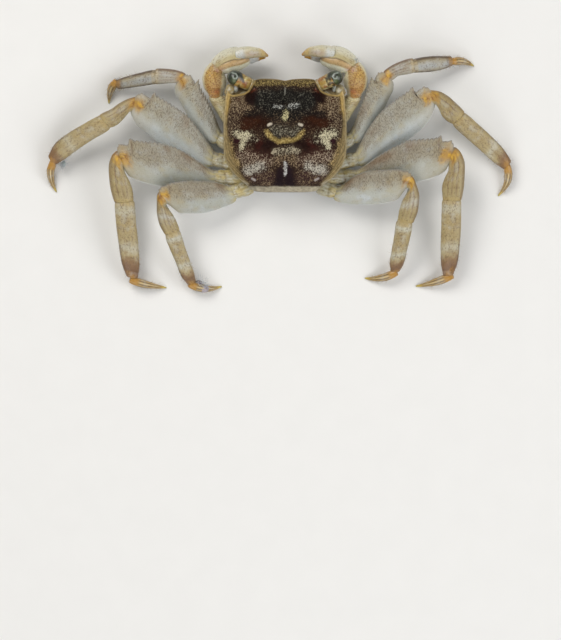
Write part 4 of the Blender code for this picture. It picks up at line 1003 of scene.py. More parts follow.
def hairs(name, roots, ways, lengths, look, slot, radius=0.03, seed=5, curl=0.35, tone="b3a384"):
    """Fine tapering hairs that start at the roots."""
    roots, ways = np.asarray(roots, float), np.asarray(ways, float)
    generator = np.random.default_rng(seed)
    ways = unit(ways)
    bend = generator.normal(size=ways.shape) * curl
    side = unit(np.cross(ways, generator.normal(size=ways.shape)))
    other = np.cross(ways, side)
    lengths = np.asarray(lengths)[:, None]
    spots = []
    for part, thick in ((-0.1, 1.0), (0.5, 0.7)):
        middle = roots + ways * lengths * part + bend * lengths * max(part, 0) ** 2
        for k in range(3):
            turn = 2 * np.pi * k / 3
            spots.append(middle + (side * math.cos(turn) + other * math.sin(turn)) * radius * thick)
    spots.append(roots + ways * lengths + bend * lengths)
    points = np.stack(spots, 1)
    points[..., 2] = np.maximum(points[..., 2], LEAST_HAIR_Z)
    start = np.arange(len(roots))[:, None] * HAIR_POINTS
    quads = np.concatenate([start + np.array([k, (k + 1) % 3, 3 + (k + 1) % 3, 3 + k]) for k in range(3)])
    tips = np.concatenate([start + np.array([3 + k, 3 + (k + 1) % 3, 6]) for k in range(3)])
    patch = Patch(points.reshape(-1, 3), [quads, tips])
    tones = 0.75 + 0.5 * generator.random(len(roots))
    patch.values["tint"] = np.repeat(rgb(tone)[None] * tones[:, None], HAIR_POINTS, axis=0)
    build(name, patch, look, slot)


def hair_places(patch, chosen, count, seed, lean):
    """Roots on a patch where it is chosen, with ways that lean along the leg."""
    generator = np.random.default_rng(seed)
    weights = np.clip(chosen, 0, None)
    picked = generator.choice(len(weights), count, p=weights / weights.sum())
    ways = patch.normals()[picked] + np.asarray(lean) + generator.normal(size=(count, 3)) * 0.25
    roots = patch.points[picked]
    low = roots[:, 2] < LOW_ROOT_Z
    ways[low, 2] = np.abs(ways[low, 2]) * 0.4
    return roots, ways


def limb_hairs(name, patch, chosen, count, lean, slot, seed):
    """Short hairs on a lower leg where it is chosen."""
    roots, ways = hair_places(patch, chosen, count, seed, lean)
    lengths = 0.25 + 0.5 * np.random.default_rng(seed + 6).random(count)
    hairs(name, roots, ways, lengths, "hair", slot, HAIR_RADIUS, seed)


def add_fluff(name, centre, radii, count, slot, seed):
    """A small tuft of pale threads caught on the shell."""
    generator = np.random.default_rng(seed)
    roots = np.array(centre) + generator.normal(size=(count, 3)) * np.array(radii) * 0.5
    ways = generator.normal(size=(count, 3)) * (1, 1, 0.5)
    hairs(name, roots, ways, 0.2 + 0.45 * generator.random(count), "fluff", slot, THREAD_RADIUS,
          seed, 0.9, "b4babd")


# Each leg's own markings. Upper leg: how pale its rear half is, partly its own tone and partly painted light that
# lifts the shaded second legs and greys the third and fourth, how tan its front half is, length of its spines.
# Lower leg: places and strength of the pale bands, where the brown end starts, whether it is grey.
MARKS = {
    "leg_1_left": dict(rear=0.2, tan=0.25, pale=[], band=0.0, brown=0.0, grey=1.0, spine=0.62),
    "leg_1_right": dict(rear=0.2, tan=0.25, pale=[], band=0.0, brown=0.0, grey=1.0, spine=0.52),
    "leg_2_left": dict(rear=0.5, tan=0.36, pale=[0.6], band=0.35, brown=0.82, grey=0.0, spine=0.36),
    "leg_2_right": dict(rear=0.55, tan=0.4, pale=[0.65], band=0.5, brown=0.84, grey=0.0, spine=0.34),
    "leg_3_left": dict(rear=0.0, tan=0.7, pale=[0.08, 0.6], band=0.45, brown=0.74, grey=0.0, spine=0.34),
    "leg_3_right": dict(rear=0.1, tan=0.8, pale=[0.07, 0.62], band=0.45, brown=0.74, grey=0.0, spine=0.34),
    "leg_4_left": dict(rear=0.0, tan=1.0, pale=[0.05, 0.62], band=0.65, brown=0.78, grey=0.0, spine=0.14),
    "leg_4_right": dict(rear=0.1, tan=0.85, pale=[0.05, 0.62], band=0.65, brown=0.76, grey=0.0, spine=0.14),
}


def add_merus(name, leg, marks, seed):
    """An upper leg, with its notch, spines and knee. Gives its band."""
    front, notch = plain_front(leg["front"])
    band = merus_band(leg, front)
    patch = limb(band, UPPER_COLUMNS, LEG_POWER, 0.13, neck=0.7, size=0.86, lip=0.1, rim=0.12, cap=0.8)
    share, wide, high, place = read(patch)
    # The notch before the end, which only the front edge shows
    edge = ease(0.45, 1.0, wide) ** 1.5
    inside = np.clip(share, 0, 1)
    plan = at_share(leg["front"], inside) - at_share(front, inside)
    patch.points[:, :2] += plan * edge[:, None]
    # Small spines along the front edge
    step = (patch.values["along"] / SPINE_PITCH + 0.3 * noise(place * (1, 0, 0), 3.0, seed)) % 1.0
    tooth = np.minimum(step / 0.8, (1 - step) / 0.2)
    reach = marks["spine"] * ease(0.05, 0.3, share) * ease(notch, notch - 0.03, share) * (0.55 + 0.45 * share)
    reach = reach + 0.14 * ease(notch + 0.02, notch + 0.05, share) * ease(1.02, 0.97, share)
    teeth = 0.25 * bell(share, 0.985, 0.016) + (0.36 * bell(share, notch - 0.015, 0.02) if notch < 1 else 0.0)
    run = unit(np.append(front[-1] - front[0], 0.0))
    patch.points += (patch.edge + run * 0.5) * ((reach * tooth + teeth) * ease(0.88, 1.0, wide))[:, None]
    # A raised front edge, a long hollow behind it and a swelling along the middle
    top = ease(0.1, 0.5, high)
    body = np.sin(np.pi * inside) ** 0.5
    swell = 0.14 * bell(wide, 0.2, 0.3) * top - 0.1 * bell(wide, 0.72, 0.12) * top
    swell += 0.12 * bell(wide, -0.85, 0.1) * np.sign(high) * ease(0.0, 0.3, np.abs(high))
    rough = noise(place * (1.0, 0.45, 0.45), 0.5, seed + 1, 1) * 0.07
    crease = bell(share, 0.93 - 0.05 * wide, 0.012) * ease(0.3, 0.75, wide) * top
    patch.push(swell * body + rough * top * ease(-0.35, 0.3, wide) * body - 0.1 * crease)
    uneven = noise(place, 1.6, seed + 2)
    front_half = ease(-0.3, 0.5, wide + 0.25 * uneven) * top
    fine = noise(place, 0.6, seed + 4)
    knee = ease(0.905, 0.965, share + 0.03 * uneven + 0.015 * fine) * bell(wide, 0.3, 0.45) * ease(-0.3, 0.2, high)
    patches = ease(-0.1, 0.5, noise(place, 3.0, seed + 3)) * ease(0.3, 0.85, wide) * top
    hind, below = wide + 0.2 * uneven, ease(0.1, -0.25, high)
    # The rear half is painted paler where the leg's rear amount is high and greyer where it is low: partly its own
    # tone, partly painted light and shade that offset how light falls on each leg.
    grey_rear_with_painted_shade = (0.4 - marks["rear"]) * 0.6 * ease(0.4, 0.0, marks["rear"])
    streaked = 0.35 + 0.65 * ease(-0.1, 0.5, np.cos(9 * wide + 2 * uneven))
    painted(
        patch, "acada3", ("8f8570", front_half * (0.35 + 0.5 * marks["tan"])),
        ("bcc3c8", ease(0.0, 0.6, uneven) * ease(0.3, -0.5, wide) * 0.7 * top),
        ("d0d7da", ease(0.05, -0.5, hind) * marks["rear"] * top),
        ("98998c", ease(0.3, -0.3, hind) * grey_rear_with_painted_shade * top),
        ("7a6248", patches * (0.3 + 0.55 * marks["tan"]) * ease(0.85, 0.5, share)),
        ("a08f66", ease(0.6, 0.95, share + 0.1 * uneven) * 0.4 * top), ("b4b9b8", below),
        ("a39a84", below * ease(0.1, 0.6, uneven) * 0.5), ("dfe2e0", bell(wide, -0.95, 0.07) * 0.95),
        ("b1a67b", ease(0.12, 0.0, share) * streaked), *stains(knee, ease(-0.1, 0.4, fine), place, seed + 6, 0.85),
        ("6b4d30", crease * 0.5), ("6f5237", bell(wide, 1.0, 0.03) * 0.35))
    grain = (0.1 + 0.85 * front_half) * (0.9 + 0.2 * uneven) * top + 0.5 * ease(0.2, 0.9, wide) * (1 - top)
    grain *= ease(1.0, 0.9, share) * ease(0.0, 0.1, share)
    set_grain(patch, grain)
    build(f"{name}_merus_shell", patch, "merus", "upper_leg_shell", f"{name}_merus")
    return band


def shin_lines(wide, place, seed):
    """Three darker lines that run along a lower leg."""
    shifted = wide + 0.06 * noise(place * (0.3, 1, 1), 1.0, seed)
    return bell(shifted, 0.45, 0.06) + 0.8 * bell(shifted, 0.02, 0.05) + 0.7 * bell(shifted, -0.4, 0.05)


def add_carpus(name, leg, marks, knee, seed):
    """The first piece of a lower leg, whose neck points at the knee."""
    _, knee_z, wrist_z, _ = leg["heights"]
    band = shin_band(leg["carpus"], knee_z + CARPUS_LIFT, wrist_z + CARPUS_LIFT, CARPUS_THICKNESS)
    patch = limb(band, SHIN_COLUMNS, LEG_POWER, 0.15, neck=0.7, size=0.88, lip=0.15, rim=0.42, toward=knee)
    share, wide, high, place = read(patch)
    top = ease(-0.1, 0.3, high)
    uneven = noise(place, 1.1, seed)
    lines = shin_lines(wide, place, seed + 1) * top * ease(0.08, 0.3, share) * ease(1.0, 0.85, share)
    fold = bell(share, 0.86 + 0.04 * wide, 0.02) * top
    patch.push(0.1 * bell(wide, 0.24, 0.12) * top - 0.06 * lines + 0.06 * bell(wide, -0.2, 0.12) * top
               + 0.05 * noise(place, 0.7, seed + 2) * top - 0.02 * fold)
    grey = marks["grey"]
    orange = ease(0.3, 0.08, share + 0.1 * uneven) * ease(-0.9, 0.0, wide + 0.3 * uneven)
    belt = bell(share + 0.05 * uneven, 0.55, 0.1) * ease(0.5, 0.65, marks["band"])
    painted(
        patch, "9f8f66" if grey < 0.5 else "a0998a", ("b4b1a2", ease(0.1, -0.5, high) * 0.8),
        ("8c7650", ease(0.0, 0.6, uneven) * 0.45 * top), ("babab0", belt * 0.6 * top),
        *stains(orange, ease(-0.1, 0.5, noise(place, 0.7, seed + 3)), place, seed + 4, 0.75),
        ("6e5340", lines * 0.7), ("6b5038", bell(wide, 0.95, 0.16) * (0.85 if grey > 0.5 else 0.4)),
        ("b39a5e", ease(0.95, 1.0, share) * 0.3))
    set_grain(patch, (0.35 + 0.2 * uneven) * top * ease(0.1, 0.4, share))
    build(f"{name}_carpus_shell", patch, "shin", "lower_leg_shell", f"{name}_carpus")


def add_propodus(name, leg, marks, seed):
    """The second piece of a lower leg, with its hairs. Gives its band."""
    _, _, wrist_z, ankle_z = leg["heights"]
    band = shin_band(leg["propodus"], wrist_z - PROPODUS_DROP, ankle_z, PROPODUS_THICKNESS)
    patch = limb(band, SHIN_COLUMNS, LEG_POWER, 0.15, neck=0.6, size=0.9, lip=0.42, rim=0.25)
    share, wide, high, place = read(patch)
    top = ease(-0.1, 0.3, high)
    uneven = noise(place, 1.1, seed)
    lines = shin_lines(wide, place, seed + 1) * top
    patch.push(0.07 * bell(wide, 0.24, 0.13) * top - 0.04 * lines + 0.05 * noise(place, 0.7, seed + 2) * top
               + 0.05 * np.abs(noise(place * (1, 0.2, 0.2), 0.5, seed + 4)) * bell(np.abs(wide), 1.0, 0.06))
    ragged = share + 0.05 * uneven + 0.03 * noise(place, 0.45, seed + 5)
    layers = [("b4b1a2", ease(0.1, -0.5, high) * 0.7), ("8c7650", ease(0.0, 0.6, uneven) * 0.4 * top),
              ("85704c", lines * 0.3)]
    if marks["grey"] > 0.5:
        layers += [("a4a7a6", bell(wide, -0.15, 0.75) * 0.85 * top), ("46342a", bell(wide, 0.95, 0.25) * 0.9),
                   ("403026", bell(wide, -0.95, 0.17) * 0.9), ("503c32", ease(0.8, 0.98, ragged) * 0.7)]
    for centre in marks["pale"]:
        layers.append(("c0c0b2", bell(ragged, centre, 0.075) * marks["band"]))
    if marks["brown"]:
        brown = marks["brown"]
        layers += [("7c5c40", ease(brown - 0.06, brown + 0.05, ragged) * 0.85),
                   ("64463a", ease(brown + 0.03, 0.95, ragged) * 0.55)]
    layers += [("46342a", bell(wide, 1.0, 0.09) * ease(0.2, 0.9, share) * 0.65),
               ("58432f", bell(wide, -1.0, 0.07) * ease(0.3, 0.9, share) * 0.45),
               ("b28642", ease(0.88, 0.98, ragged) * bell(wide, 0.1, 0.75) * 0.75),
               ("b39a5e", ease(0.02, 0.0, share) * 0.3)]
    painted(patch, "a39269", *layers)
    set_grain(patch, (0.4 + 0.25 * uneven) * top)
    build(f"{name}_propodus_shell", patch, "shin", "lower_leg_shell", f"{name}_propodus")
    run = unit(np.subtract(band[0][-1], band[0][0]))
    chosen = bell(np.abs(wide), 1.0, 0.15) * ease(0.25, 0.9, share) * ease(1.03, 1.0, share)
    limb_hairs(f"{name}_propodus_hairs", patch, chosen, SHIN_HAIRS, run * 0.6, "lower_leg_shell", seed)
    return band


def add_dactylus(name, leg, toward, seed):
    """A leg's claw, curved down to the ground, with grooves and hairs."""
    ankle_z = leg["heights"][3]
    start, middle, tip = (np.array(point, float) for point in leg["dactylus"])
    top_z = ankle_z - DACTYLUS_DROP
    start, tip = np.append(start, top_z), np.append(tip, TIP_Z)
    middle = np.append(middle, (top_z + TIP_Z) / 2 + DACTYLUS_ARCH)
    control = middle * 2 - (start + tip) / 2
    s = np.linspace(0, 1, 6)[:, None]
    points = start * (1 - s) ** 2 + control * 2 * s * (1 - s) + tip * s ** 2
    # A thinner root reaches into the limb before, over the first share of the length
    root = points[0] + unit(points[0] - points[1]) * 0.9
    patch = rod(np.vstack([root, points]), [1.3] + DACTYLUS_WIDTHS, [1.4] + DACTYLUS_HEIGHTS, TOE_COLUMNS,
                (0.15, 0.1), 0.11, toward)
    share, wide, _, place = read(patch)
    share = (share - TOE_ROOT) / (1 - TOE_ROOT)
    fade = ease(0.06, 0.18, share) * ease(0.92, 0.65, share)
    grooves = (bell(wide, 0.42, 0.12) + bell(wide, -0.42, 0.12)) * fade
    patch.push(-0.1 * grooves + 0.05 * bell(wide, 0.0, 0.13) * fade + 0.02 * noise(place, 0.5, seed))
    painted(patch, "a27f42", ("40301f", grooves * 0.9), ("c9b88e", bell(wide, 0.0, 0.2) * fade * 0.85),
            ("c0aa7c", bell(np.abs(wide), 0.7, 0.12) * fade * 0.6),
            ("46331f", bell(np.abs(wide), 0.97, 0.12) * fade * 0.6), ("b8a349", ease(0.75, 0.95, share)),
            ("ad8038", ease(0.16, 0.0, share) * 0.75), ("8a8640", ease(0.93, 1.0, share) * 0.6))
    set_grain(patch, 0.2 * fade)
    build(f"{name}_dactylus_shell", patch, "dactylus", "leg_claw_shell", f"{name}_dactylus")
    run = unit(tip - start)
    chosen = (grooves + 0.3 * fade) * ease(1.0, 0.7, share)
    limb_hairs(f"{name}_dactylus_hairs", patch, chosen, TOE_HAIRS, run * 0.9, "leg_claw_shell", seed)


def add_hip(name, leg, root, seed):
    """The ribbed hip between the body and an upper leg."""
    base_z = leg["heights"][0]
    hip = np.array((*leg["hip"], base_z - HIP_DROP))
    run = unit(hip - root)
    widths, heights = [2.9, 3.15, 3.2, 3.0, 3.0, 2.4], [2.2, 2.5, 2.6, 2.4, 2.6, 2.2]
    points = np.linspace(hip + run * 0.6, root + run * 0.3, len(widths))
    patch = rod(points, widths, heights, HIP_COLUMNS, (0.3, 0.3), 0.12)
    share, wide, high, place = read(patch)
    top = ease(-0.2, 0.4, high)
    seam = bell(share, 0.62 + 0.06 * wide, 0.02)
    ribs = np.cos(2 * np.pi * (wide + 0.2 * noise(place, 1.0, seed)) / 0.4)
    patch.push(-0.07 * seam + 0.035 * ribs * top * ease(0.62, 0.7, share) + 0.04 * noise(place, 0.6, seed))
    uneven = noise(place * (0.6, 1, 1), 0.8, seed + 1)
    painted(patch, "b6b29a", ("b9a562", ease(-0.2, 0.5, uneven) * 0.8), ("84703f", ease(0.3, 0.9, ribs) * 0.5 * top),
            ("cfd0c4", ease(0.4, 0.9, -ribs) * ease(0.0, 0.4, -uneven) * top * 0.8),
            ("b3b8b6", ease(0.0, -0.5, high)), ("8d7650", seam * 0.3), ("8a5f32", ease(0.3, 0.6, -uneven) * 0.3))
    set_grain(patch, 0.25 * top)
    build(f"{name}_hip_shell", patch, "hip", "hip_shell", f"{name}_hip")


def add_legs():
    """All eight legs, each with its own seeds."""
    for number, (name, leg) in enumerate(LEGS.items()):
        marks, seed = MARKS[name], 200 + 20 * number
        outer, inner, _ = add_merus(name, leg, marks, seed)
        root = (np.array(outer[0]) + np.array(inner[0])) / 2
        knee = (np.array(outer[-1]) + np.array(inner[-1])) / 2
        add_hip(name, leg, root, seed)
        add_carpus(name, leg, marks, knee, seed + 5)
        outer, inner, _ = add_propodus(name, leg, marks, seed + 10)
        add_dactylus(name, leg, np.array(outer[-1]) - np.array(inner[-1]), seed + 15)


# Claws

def claw_band(side, rows):
    """Outer edge, inner edge and thickness of a claw's piece. The left claw reaches a little less far."""
    outer, inner, thick = [], [], []
    for far, near, thickness in rows:
        for edge, made in ((far, outer), (near, inner)):
            x, y, z = side * edge[0], edge[1], edge[2]
            if side < 0 and y > LEFT_CLAW_TURN_Y:
                y = LEFT_CLAW_TURN_Y + (y - LEFT_CLAW_TURN_Y) * LEFT_CLAW_REACH
            made.append((x, y, z))
        thick.append(thickness)
    return outer, inner, thick


def add_claw(word, side):
    """The five pieces of a claw."""
    name = f"claw_{word}"
    base = limb(claw_band(side, CLAW_BASE), 40, 2.2, 0.2, neck=0.3, lip=0.1, rim=0.3)
    painted(base, "b0b4b3", ("a58a62", bell(base.values["share"], 0.5, 0.08) * 0.5))
    build(f"{name}_base_shell", base, "under", "underside_shell", f"{name}_base")

    merus = limb(claw_band(side, CLAW_MERUS), 64, 2.2, 0.13, neck=0.5, lip=0.2, rim=0.3)
    share, wide, high, place = read(merus)
    top = ease(-0.1, 0.4, high)
    uneven = noise(place, 1.2, 80)
    curved = merus.values["along"] - 0.5 * (wide - 0.1) ** 2
    stria = np.cos(2 * np.pi * curved / 0.5) * ease(0.55, 0.85, share) * top
    merus.push(0.05 * stria + 0.06 * noise(place, 0.6, 81) * top + 0.06 * bell(share, 1.0, 0.05))
    painted(merus, "cfc294", ("b0b3ad", ease(0.1, -0.4, high)), ("8f7a55", ease(0.2, 0.8, -stria) * 0.5),
            ("aea27c", ease(0.3, 1.0, wide) * 0.5), ("80694a", ease(0.0, 0.5, uneven) * 0.4 * top))
    set_grain(merus, (0.45 + 0.3 * uneven) * top)
    build(f"{name}_merus_shell", merus, "claw", "claw_shell", f"{name}_merus")

    wrist = limb(claw_band(side, CLAW_WRIST), 76, 2.2, 0.13, neck=0.6, size=0.85, lip=0.45, rim=0.3)
    share, wide, high, place = read(wrist)
    top = ease(-0.2, 0.3, high)
    uneven = noise(place, 1.3, 84)
    wrist.push(0.07 * noise(place, 0.4, 82, 1) * top + 0.05 * noise(place, 1.2, 83)
               + 0.08 * bell(wide, 0.93, 0.06) * top)
    deep = ease(0.4, 0.0, share + 0.2 * uneven) * ease(-0.9, -0.3, wide)
    painted(wrist, "b2935e", ("cdc6a6", ease(0.0, -0.5, high)),
            ("d2cbaa", ease(-0.3, -0.55, wide + 0.1 * uneven) * 0.95), ("b2803f", deep * 0.6),
            ("a8562c", bell(share, 0.03, 0.11) * bell(wide, -0.1, 0.4) * 0.65),
            ("c8a250", bell(share, 0.72, 0.26) * ease(-0.3, 0.4, wide) * 0.7 * top),
            ("b58a80", bell(share, 0.98, 0.05) * bell(wide, 0.25, 0.2) * 0.8),
            ("d2caa8", bell(wide, 1.0, 0.08) * 0.9))
    set_grain(wrist, top * (0.72 + 0.2 * uneven) * ease(-0.6, -0.25, wide) * ease(0.98, 0.88, wide))
    build(f"{name}_wrist_shell", wrist, "wrist", "wrist_shell", f"{name}_wrist")

    palm = limb(claw_band(side, CLAW_PALM), 84, 2.2, 0.13, neck=0.5, size=0.86, lip=0.35, rim=0.0, cap=0.15)
    share, wide, high, place = read(palm)
    top = ease(-0.1, 0.4, high)
    hand = ease(0.56, 0.5, share)
    uneven = noise(place, 1.2, 85)
    ridge_at = wide - 0.66 + 0.04 * uneven
    palm.push((0.08 * bell(ridge_at, 0.07, 0.05) - 0.1 * bell(ridge_at, -0.02, 0.04)
               - 0.06 * bell(ridge_at, -0.5, 0.06)) * top * hand
              + 0.05 * noise(place, 0.7, 86) * top + 0.06 * bell(wide, 0.95, 0.05) * hand)
    painted(palm, "b3a67b", ("c6c9c0", ease(0.0, -0.5, high)), ("a59672", ease(0.0, 0.5, uneven) * 0.5 * top),
            ("b89566", ease(0.0, -0.08, ridge_at) * ease(-0.6, -0.42, ridge_at) * hand * 0.75 * top),
            ("dad9c2", ease(-0.48, -0.62, ridge_at) * 0.95 * hand), ("d2cfb8", bell(wide, 1.0, 0.1) * 0.85),
            ("5a4326", bell(ridge_at, -0.02, 0.04) * top * hand * ease(0.02, 0.1, share) * 0.8),
            ("b07f48", bell(share, 0.5, 0.025) * bell(wide, 0.3, 0.5) * 0.7),
            ("e0e4e6", ease(0.54, 0.6, share) * 0.95), ("c4933a", ease(0.84, 0.93, share)),
            ("b58a80", bell(share, 0.0, 0.05) * bell(wide, 0.1, 0.25) * 0.6))
    set_grain(palm, (0.2 + 0.2 * uneven) * hand * ease(-0.6, -0.45, ridge_at) + 0.08)
    build(f"{name}_palm_shell", palm, "claw", "claw_shell", f"{name}_palm")

    finger = tube(*claw_band(side, CLAW_FINGER), 52, 2.2, (0.2, 0.2), 0.1)
    share, wide, high, place = read(finger)
    top = ease(-0.1, 0.4, high)
    bumps = 0.07 * beads(finger, 0.5, 0.28) * bell(wide, 0.35, 0.2) * ease(0.85, 0.6, share) * top
    finger.push(bumps + 0.03 * noise(place, 0.6, 87))
    painted(finger, "b4aa8a", ("ad9684", bell(share, 0.45, 0.2) * bell(wide, 0.1, 0.5) * 0.7),
            ("c6c8c4", ease(0.35, 0.2, share) * 0.8), ("cac4a8", bell(wide, 1.0, 0.25) * 0.75),
            ("c6a862", ease(0.6, 0.8, share) * 0.8), ("b5852f", ease(0.82, 0.93, share)),
            ("5a3518", bell(wide, -0.95, 0.15) * ease(0.6, 0.85, share) * 0.8))
    set_grain(finger, 0.2 * top)
    build(f"{name}_finger_shell", finger, "claw", "claw_shell", f"{name}_finger")


# Eyes

def lobe(name, centre, radii, tints, look, slot, seed, lean=(0.0, 0.0, 0.0)):
    """A small uneven swelling, in two tints."""
    form = ball(22, 32, 0.04)
    patch = ringed(np.array(centre) + form * radii + form[..., 2:] * np.array(lean))
    patch.push(0.1 * min(radii) * noise(patch.points, 0.6, seed))
    painted(patch, tints[0], (tints[1], ease(-0.2, 0.5, noise(patch.points, 0.5, seed + 1))))
    build(name, patch, look, slot)


def add_eye(word, side):
    """An eye with a highlight painted on its cornea, its stalk, and the lobes and floor of its socket."""
    centre = np.array(EYE_CENTRE) * (side, 1, 1)
    base = np.array(STALK_BASE) * (side, 1, 1)
    run = unit(centre - base)
    flat = unit((run[1], -run[0], 0.0)) * side
    up = np.cross(run, flat)
    up *= np.sign(up[2])
    eye = ringed(centre + ball(36, 56, 0.03) @ np.array([flat, up, run * EYE_STRETCH]) * EYE_RADIUS)
    x, y = (eye.points[:, 0] - centre[0]) * side, eye.points[:, 1] - centre[1]
    height = (eye.points - centre) @ up / EYE_RADIUS
    # A pale hook on top of the cornea is a painted reflection, a highlight laid into its colour.
    reflection_hook = [(0.55, 0.95), (-0.2, 0.75), (-0.55, 0.2), (-0.2, -0.25), (0.3, -0.2), (0.35, 0.15)]
    above = ease(0.0, 0.3, height)
    painted_reflection = ease(0.2, 0.06, away(x, y, reflection_hook)) * above
    rim = ease(1.15, 1.4, np.hypot(x, y)) * ease(-0.5, 0.3, y) * bell(height, 0.3, 0.3)
    green = bell(np.hypot(x - 0.1, y + 0.7), 0.0, 0.5) * above
    painted(eye, "20241a", ("3b4130", ease(-0.2, 0.5, noise(eye.points, 0.6, 91))), ("6b7468", rim * 0.7),
            ("55602f", green * 0.8), ("9fa79c", painted_reflection * 0.75))
    build(f"eye_{word}_cornea", eye, "cornea", "cornea", f"eye_{word}")

    end = centre - run * (EYE_RADIUS * EYE_STRETCH + GAP)
    inner = np.array((6.0, 9.75, 7.9)) * (side, 1, 1)
    points = [inner] + [base + (end - base) * k / 3 for k in range(4)] + [centre - run * 0.85, centre - run * 0.25]
    sizes = [2.6, 2.55, 2.6, 2.7, 2.75, 2.95, 3.06]
    stalk = rod(points, sizes, sizes, 48, (0.2, 0.02), 0.1, flat)
    share, wide, _, _ = read(stalk)
    uneven = noise(stalk.points, 0.8, 92)
    stalk.push(0.05 * noise(stalk.points, 0.5, 93) - 0.12 * bell(share, 0.3, 0.03))
    dark = ease(0.62, 0.8, share + 0.14 * wide + 0.05 * uneven) * ease(-0.25, 0.35, wide * flat[1])
    brown = ease(0.05, 0.35, noise(stalk.points, 0.7, 95)) * ease(0.4, 0.7, share)
    painted(stalk, "a58848", ("cac08e", ease(-0.1, 0.4, noise(stalk.points, 0.8, 94)) * 0.85),
            ("8f5424", ease(0.1, 0.4, uneven) * 0.8), ("33200f", brown * 0.9),
            ("938f74", ease(0.3, 0.1, share)), ("b5b08e", bell(share, 0.27, 0.03) * 0.7), ("2b2f27", dark))
    build(f"eyestalk_{word}_shell", stalk, "stalk", "eyestalk", f"eyestalk_{word}")

    lobe(f"orbit_{word}_lobe", (side * 10.95, 9.15, 8.1), (0.95, 1.1, 0.75), ("97855c", "aba58c"), "stalk",
         "back_shell", 96, (0.0, -0.4, 0.0))
    lobe(f"orbit_{word}_white_lobe", (side * 9.8, 9.55, 8.1), (0.45, 0.85, 0.55), ("b9bbb6", "8f9286"),
         "stalk", "back_shell", 97)
    path = [(11.4, 8.2, 7.6), (10.9, 8.8, 7.4), (9.6, 9.15, 7.1), (8.3, 9.3, 6.9), (7.0, 9.6, 6.9), (6.0, 9.9, 7.2)]
    floor = rod(np.array(path) * (side, 1, 1), [1.8, 2.3, 2.6, 2.5, 2.2, 1.8], [1.3, 1.4, 1.3, 1.2, 1.3, 1.5], 40,
                (0.3, 0.3), 0.12, (0.0, 1.0, 0.0))
    wide = floor.values["wide"]
    teeth = beads(floor, 0.42, 0.25) * bell(wide, 0.9, 0.15)
    floor.push(0.1 * teeth + 0.05 * noise(floor.points, 0.5, 98))
    painted(floor, "6b5a3e", ("a39068", ease(0.3, 0.8, wide) * 0.9), ("a39068", ease(0.0, -0.6, wide) * 0.9),
            ("a8996f", teeth * 0.8))
    build(f"orbit_{word}_floor", floor, "stalk", "back_shell")


# Face

MOUTH_HAIRS = 260


def add_face(word, side):
    """The folded small feeler, the base and whip of the large feeler, and the hairs by the mouth."""
    lobe(f"antennule_{word}", (side * 2.3, 9.75, 8.3), (1.5, 0.6, 0.5), ("8f7748", "b4a272"), "mouth",
         "mouth_shell", 110, (side * 0.3, 0.0, 0.0))
    lobe(f"antennule_{word}_tip", (side * 3.3, 9.95, 8.55), (0.8, 0.45, 0.3), ("6d5530", "9c8752"), "mouth",
         "mouth_shell", 111)
    lobe(f"antenna_{word}_base", (side * 5.0, 9.7, 7.9), (0.8, 0.7, 0.6), ("a39368", "bdb48e"), "mouth",
         "mouth_shell", 112)
    whip = np.array([(5.2, 10.1, 7.9), (5.6, 10.6, 7.7), (6.2, 10.75, 7.4), (7.0, 10.6, 7.1), (7.9, 10.3, 6.9)])
    sizes = [0.5, 0.36, 0.26, 0.18, 0.08]
    antenna = rod(whip * (side, 1, 1), sizes, sizes, 16, (0.1, 0.05), 0.08)
    rings = beads(antenna, 0.25, 0.22)
    antenna.push(0.02 * rings)
    painted(antenna, "7d6438", ("b9a877", rings * 0.7))
    build(f"antenna_{word}_whip", antenna, "mouth", "mouth_shell")

    generator = np.random.default_rng(120)
    along = generator.random(MOUTH_HAIRS)
    edge = follow([0, 0.5, 1], np.array([(0.7, 8.2), (1.7, 8.75), (3.2, 7.4)]), along)
    roots = np.column_stack([edge * (side, 1), mouth_floor_z(edge[:, 1]) - 0.7 - 0.7 * generator.random(MOUTH_HAIRS)])
    ways = np.column_stack([side * (along - 0.4), np.full(MOUTH_HAIRS, 1.0), np.full(MOUTH_HAIRS, 0.15)])
    ways += generator.normal(size=ways.shape) * 0.25
    hairs(f"mouth_{word}_hairs", roots, ways, 0.5 + 0.6 * generator.random(MOUTH_HAIRS), "hair", "mouth_shell",
          0.025, 121, 0.3, "a08a5c")


def add_face_middle():
    """The partition between the small feelers and the plate above the mouth."""
    lobe("face_septum", (0.0, 9.9, 8.3), (0.4, 0.55, 0.75), ("a5925f", "c0b48a"), "mouth", "mouth_shell", 113)
    path = [(-4.3, 8.9, 6.9), (-2.6, 9.25, 7.1), (-1.0, 9.3, 7.2), (0.0, 9.35, 7.1), (1.0, 9.3, 7.2), (2.6, 9.25, 7.1),
            (4.3, 8.9, 6.9)]
    plate = rod(path, [1.1, 1.2, 1.2, 1.5, 1.2, 1.2, 1.1], [0.7, 0.75, 0.8, 1.1, 0.8, 0.75, 0.7], 36, (0.3, 0.3), 0.1,
                (0.0, 1.0, 0.0))
    rows = beads(plate, 0.3, 0.25) * bell(plate.values["high"], 0.75, 0.3)
    plate.push(0.05 * rows + 0.04 * noise(plate.points, 0.6, 114))
    painted(plate, "9c8d66", ("c2b994", rows * 0.7), ("6f5b38", ease(0.0, 0.5, noise(plate.points, 0.7, 115)) * 0.6))
    build("face_plate", plate, "mouth", "mouth_shell")


# Underside

STERNUM_COLUMNS, MOUTHPART_COLUMNS, TAIL_ROWS, TAIL_COLUMNS = 180, 90, 110, 96


def outline_curve(outline, count):
    """Evenly placed points round a closed outline."""
    whole = np.vstack([outline, outline[:1]])
    along = lengths_along(whole)
    return follow(along, whole, np.linspace(0, along[-1], count, endpoint=False))


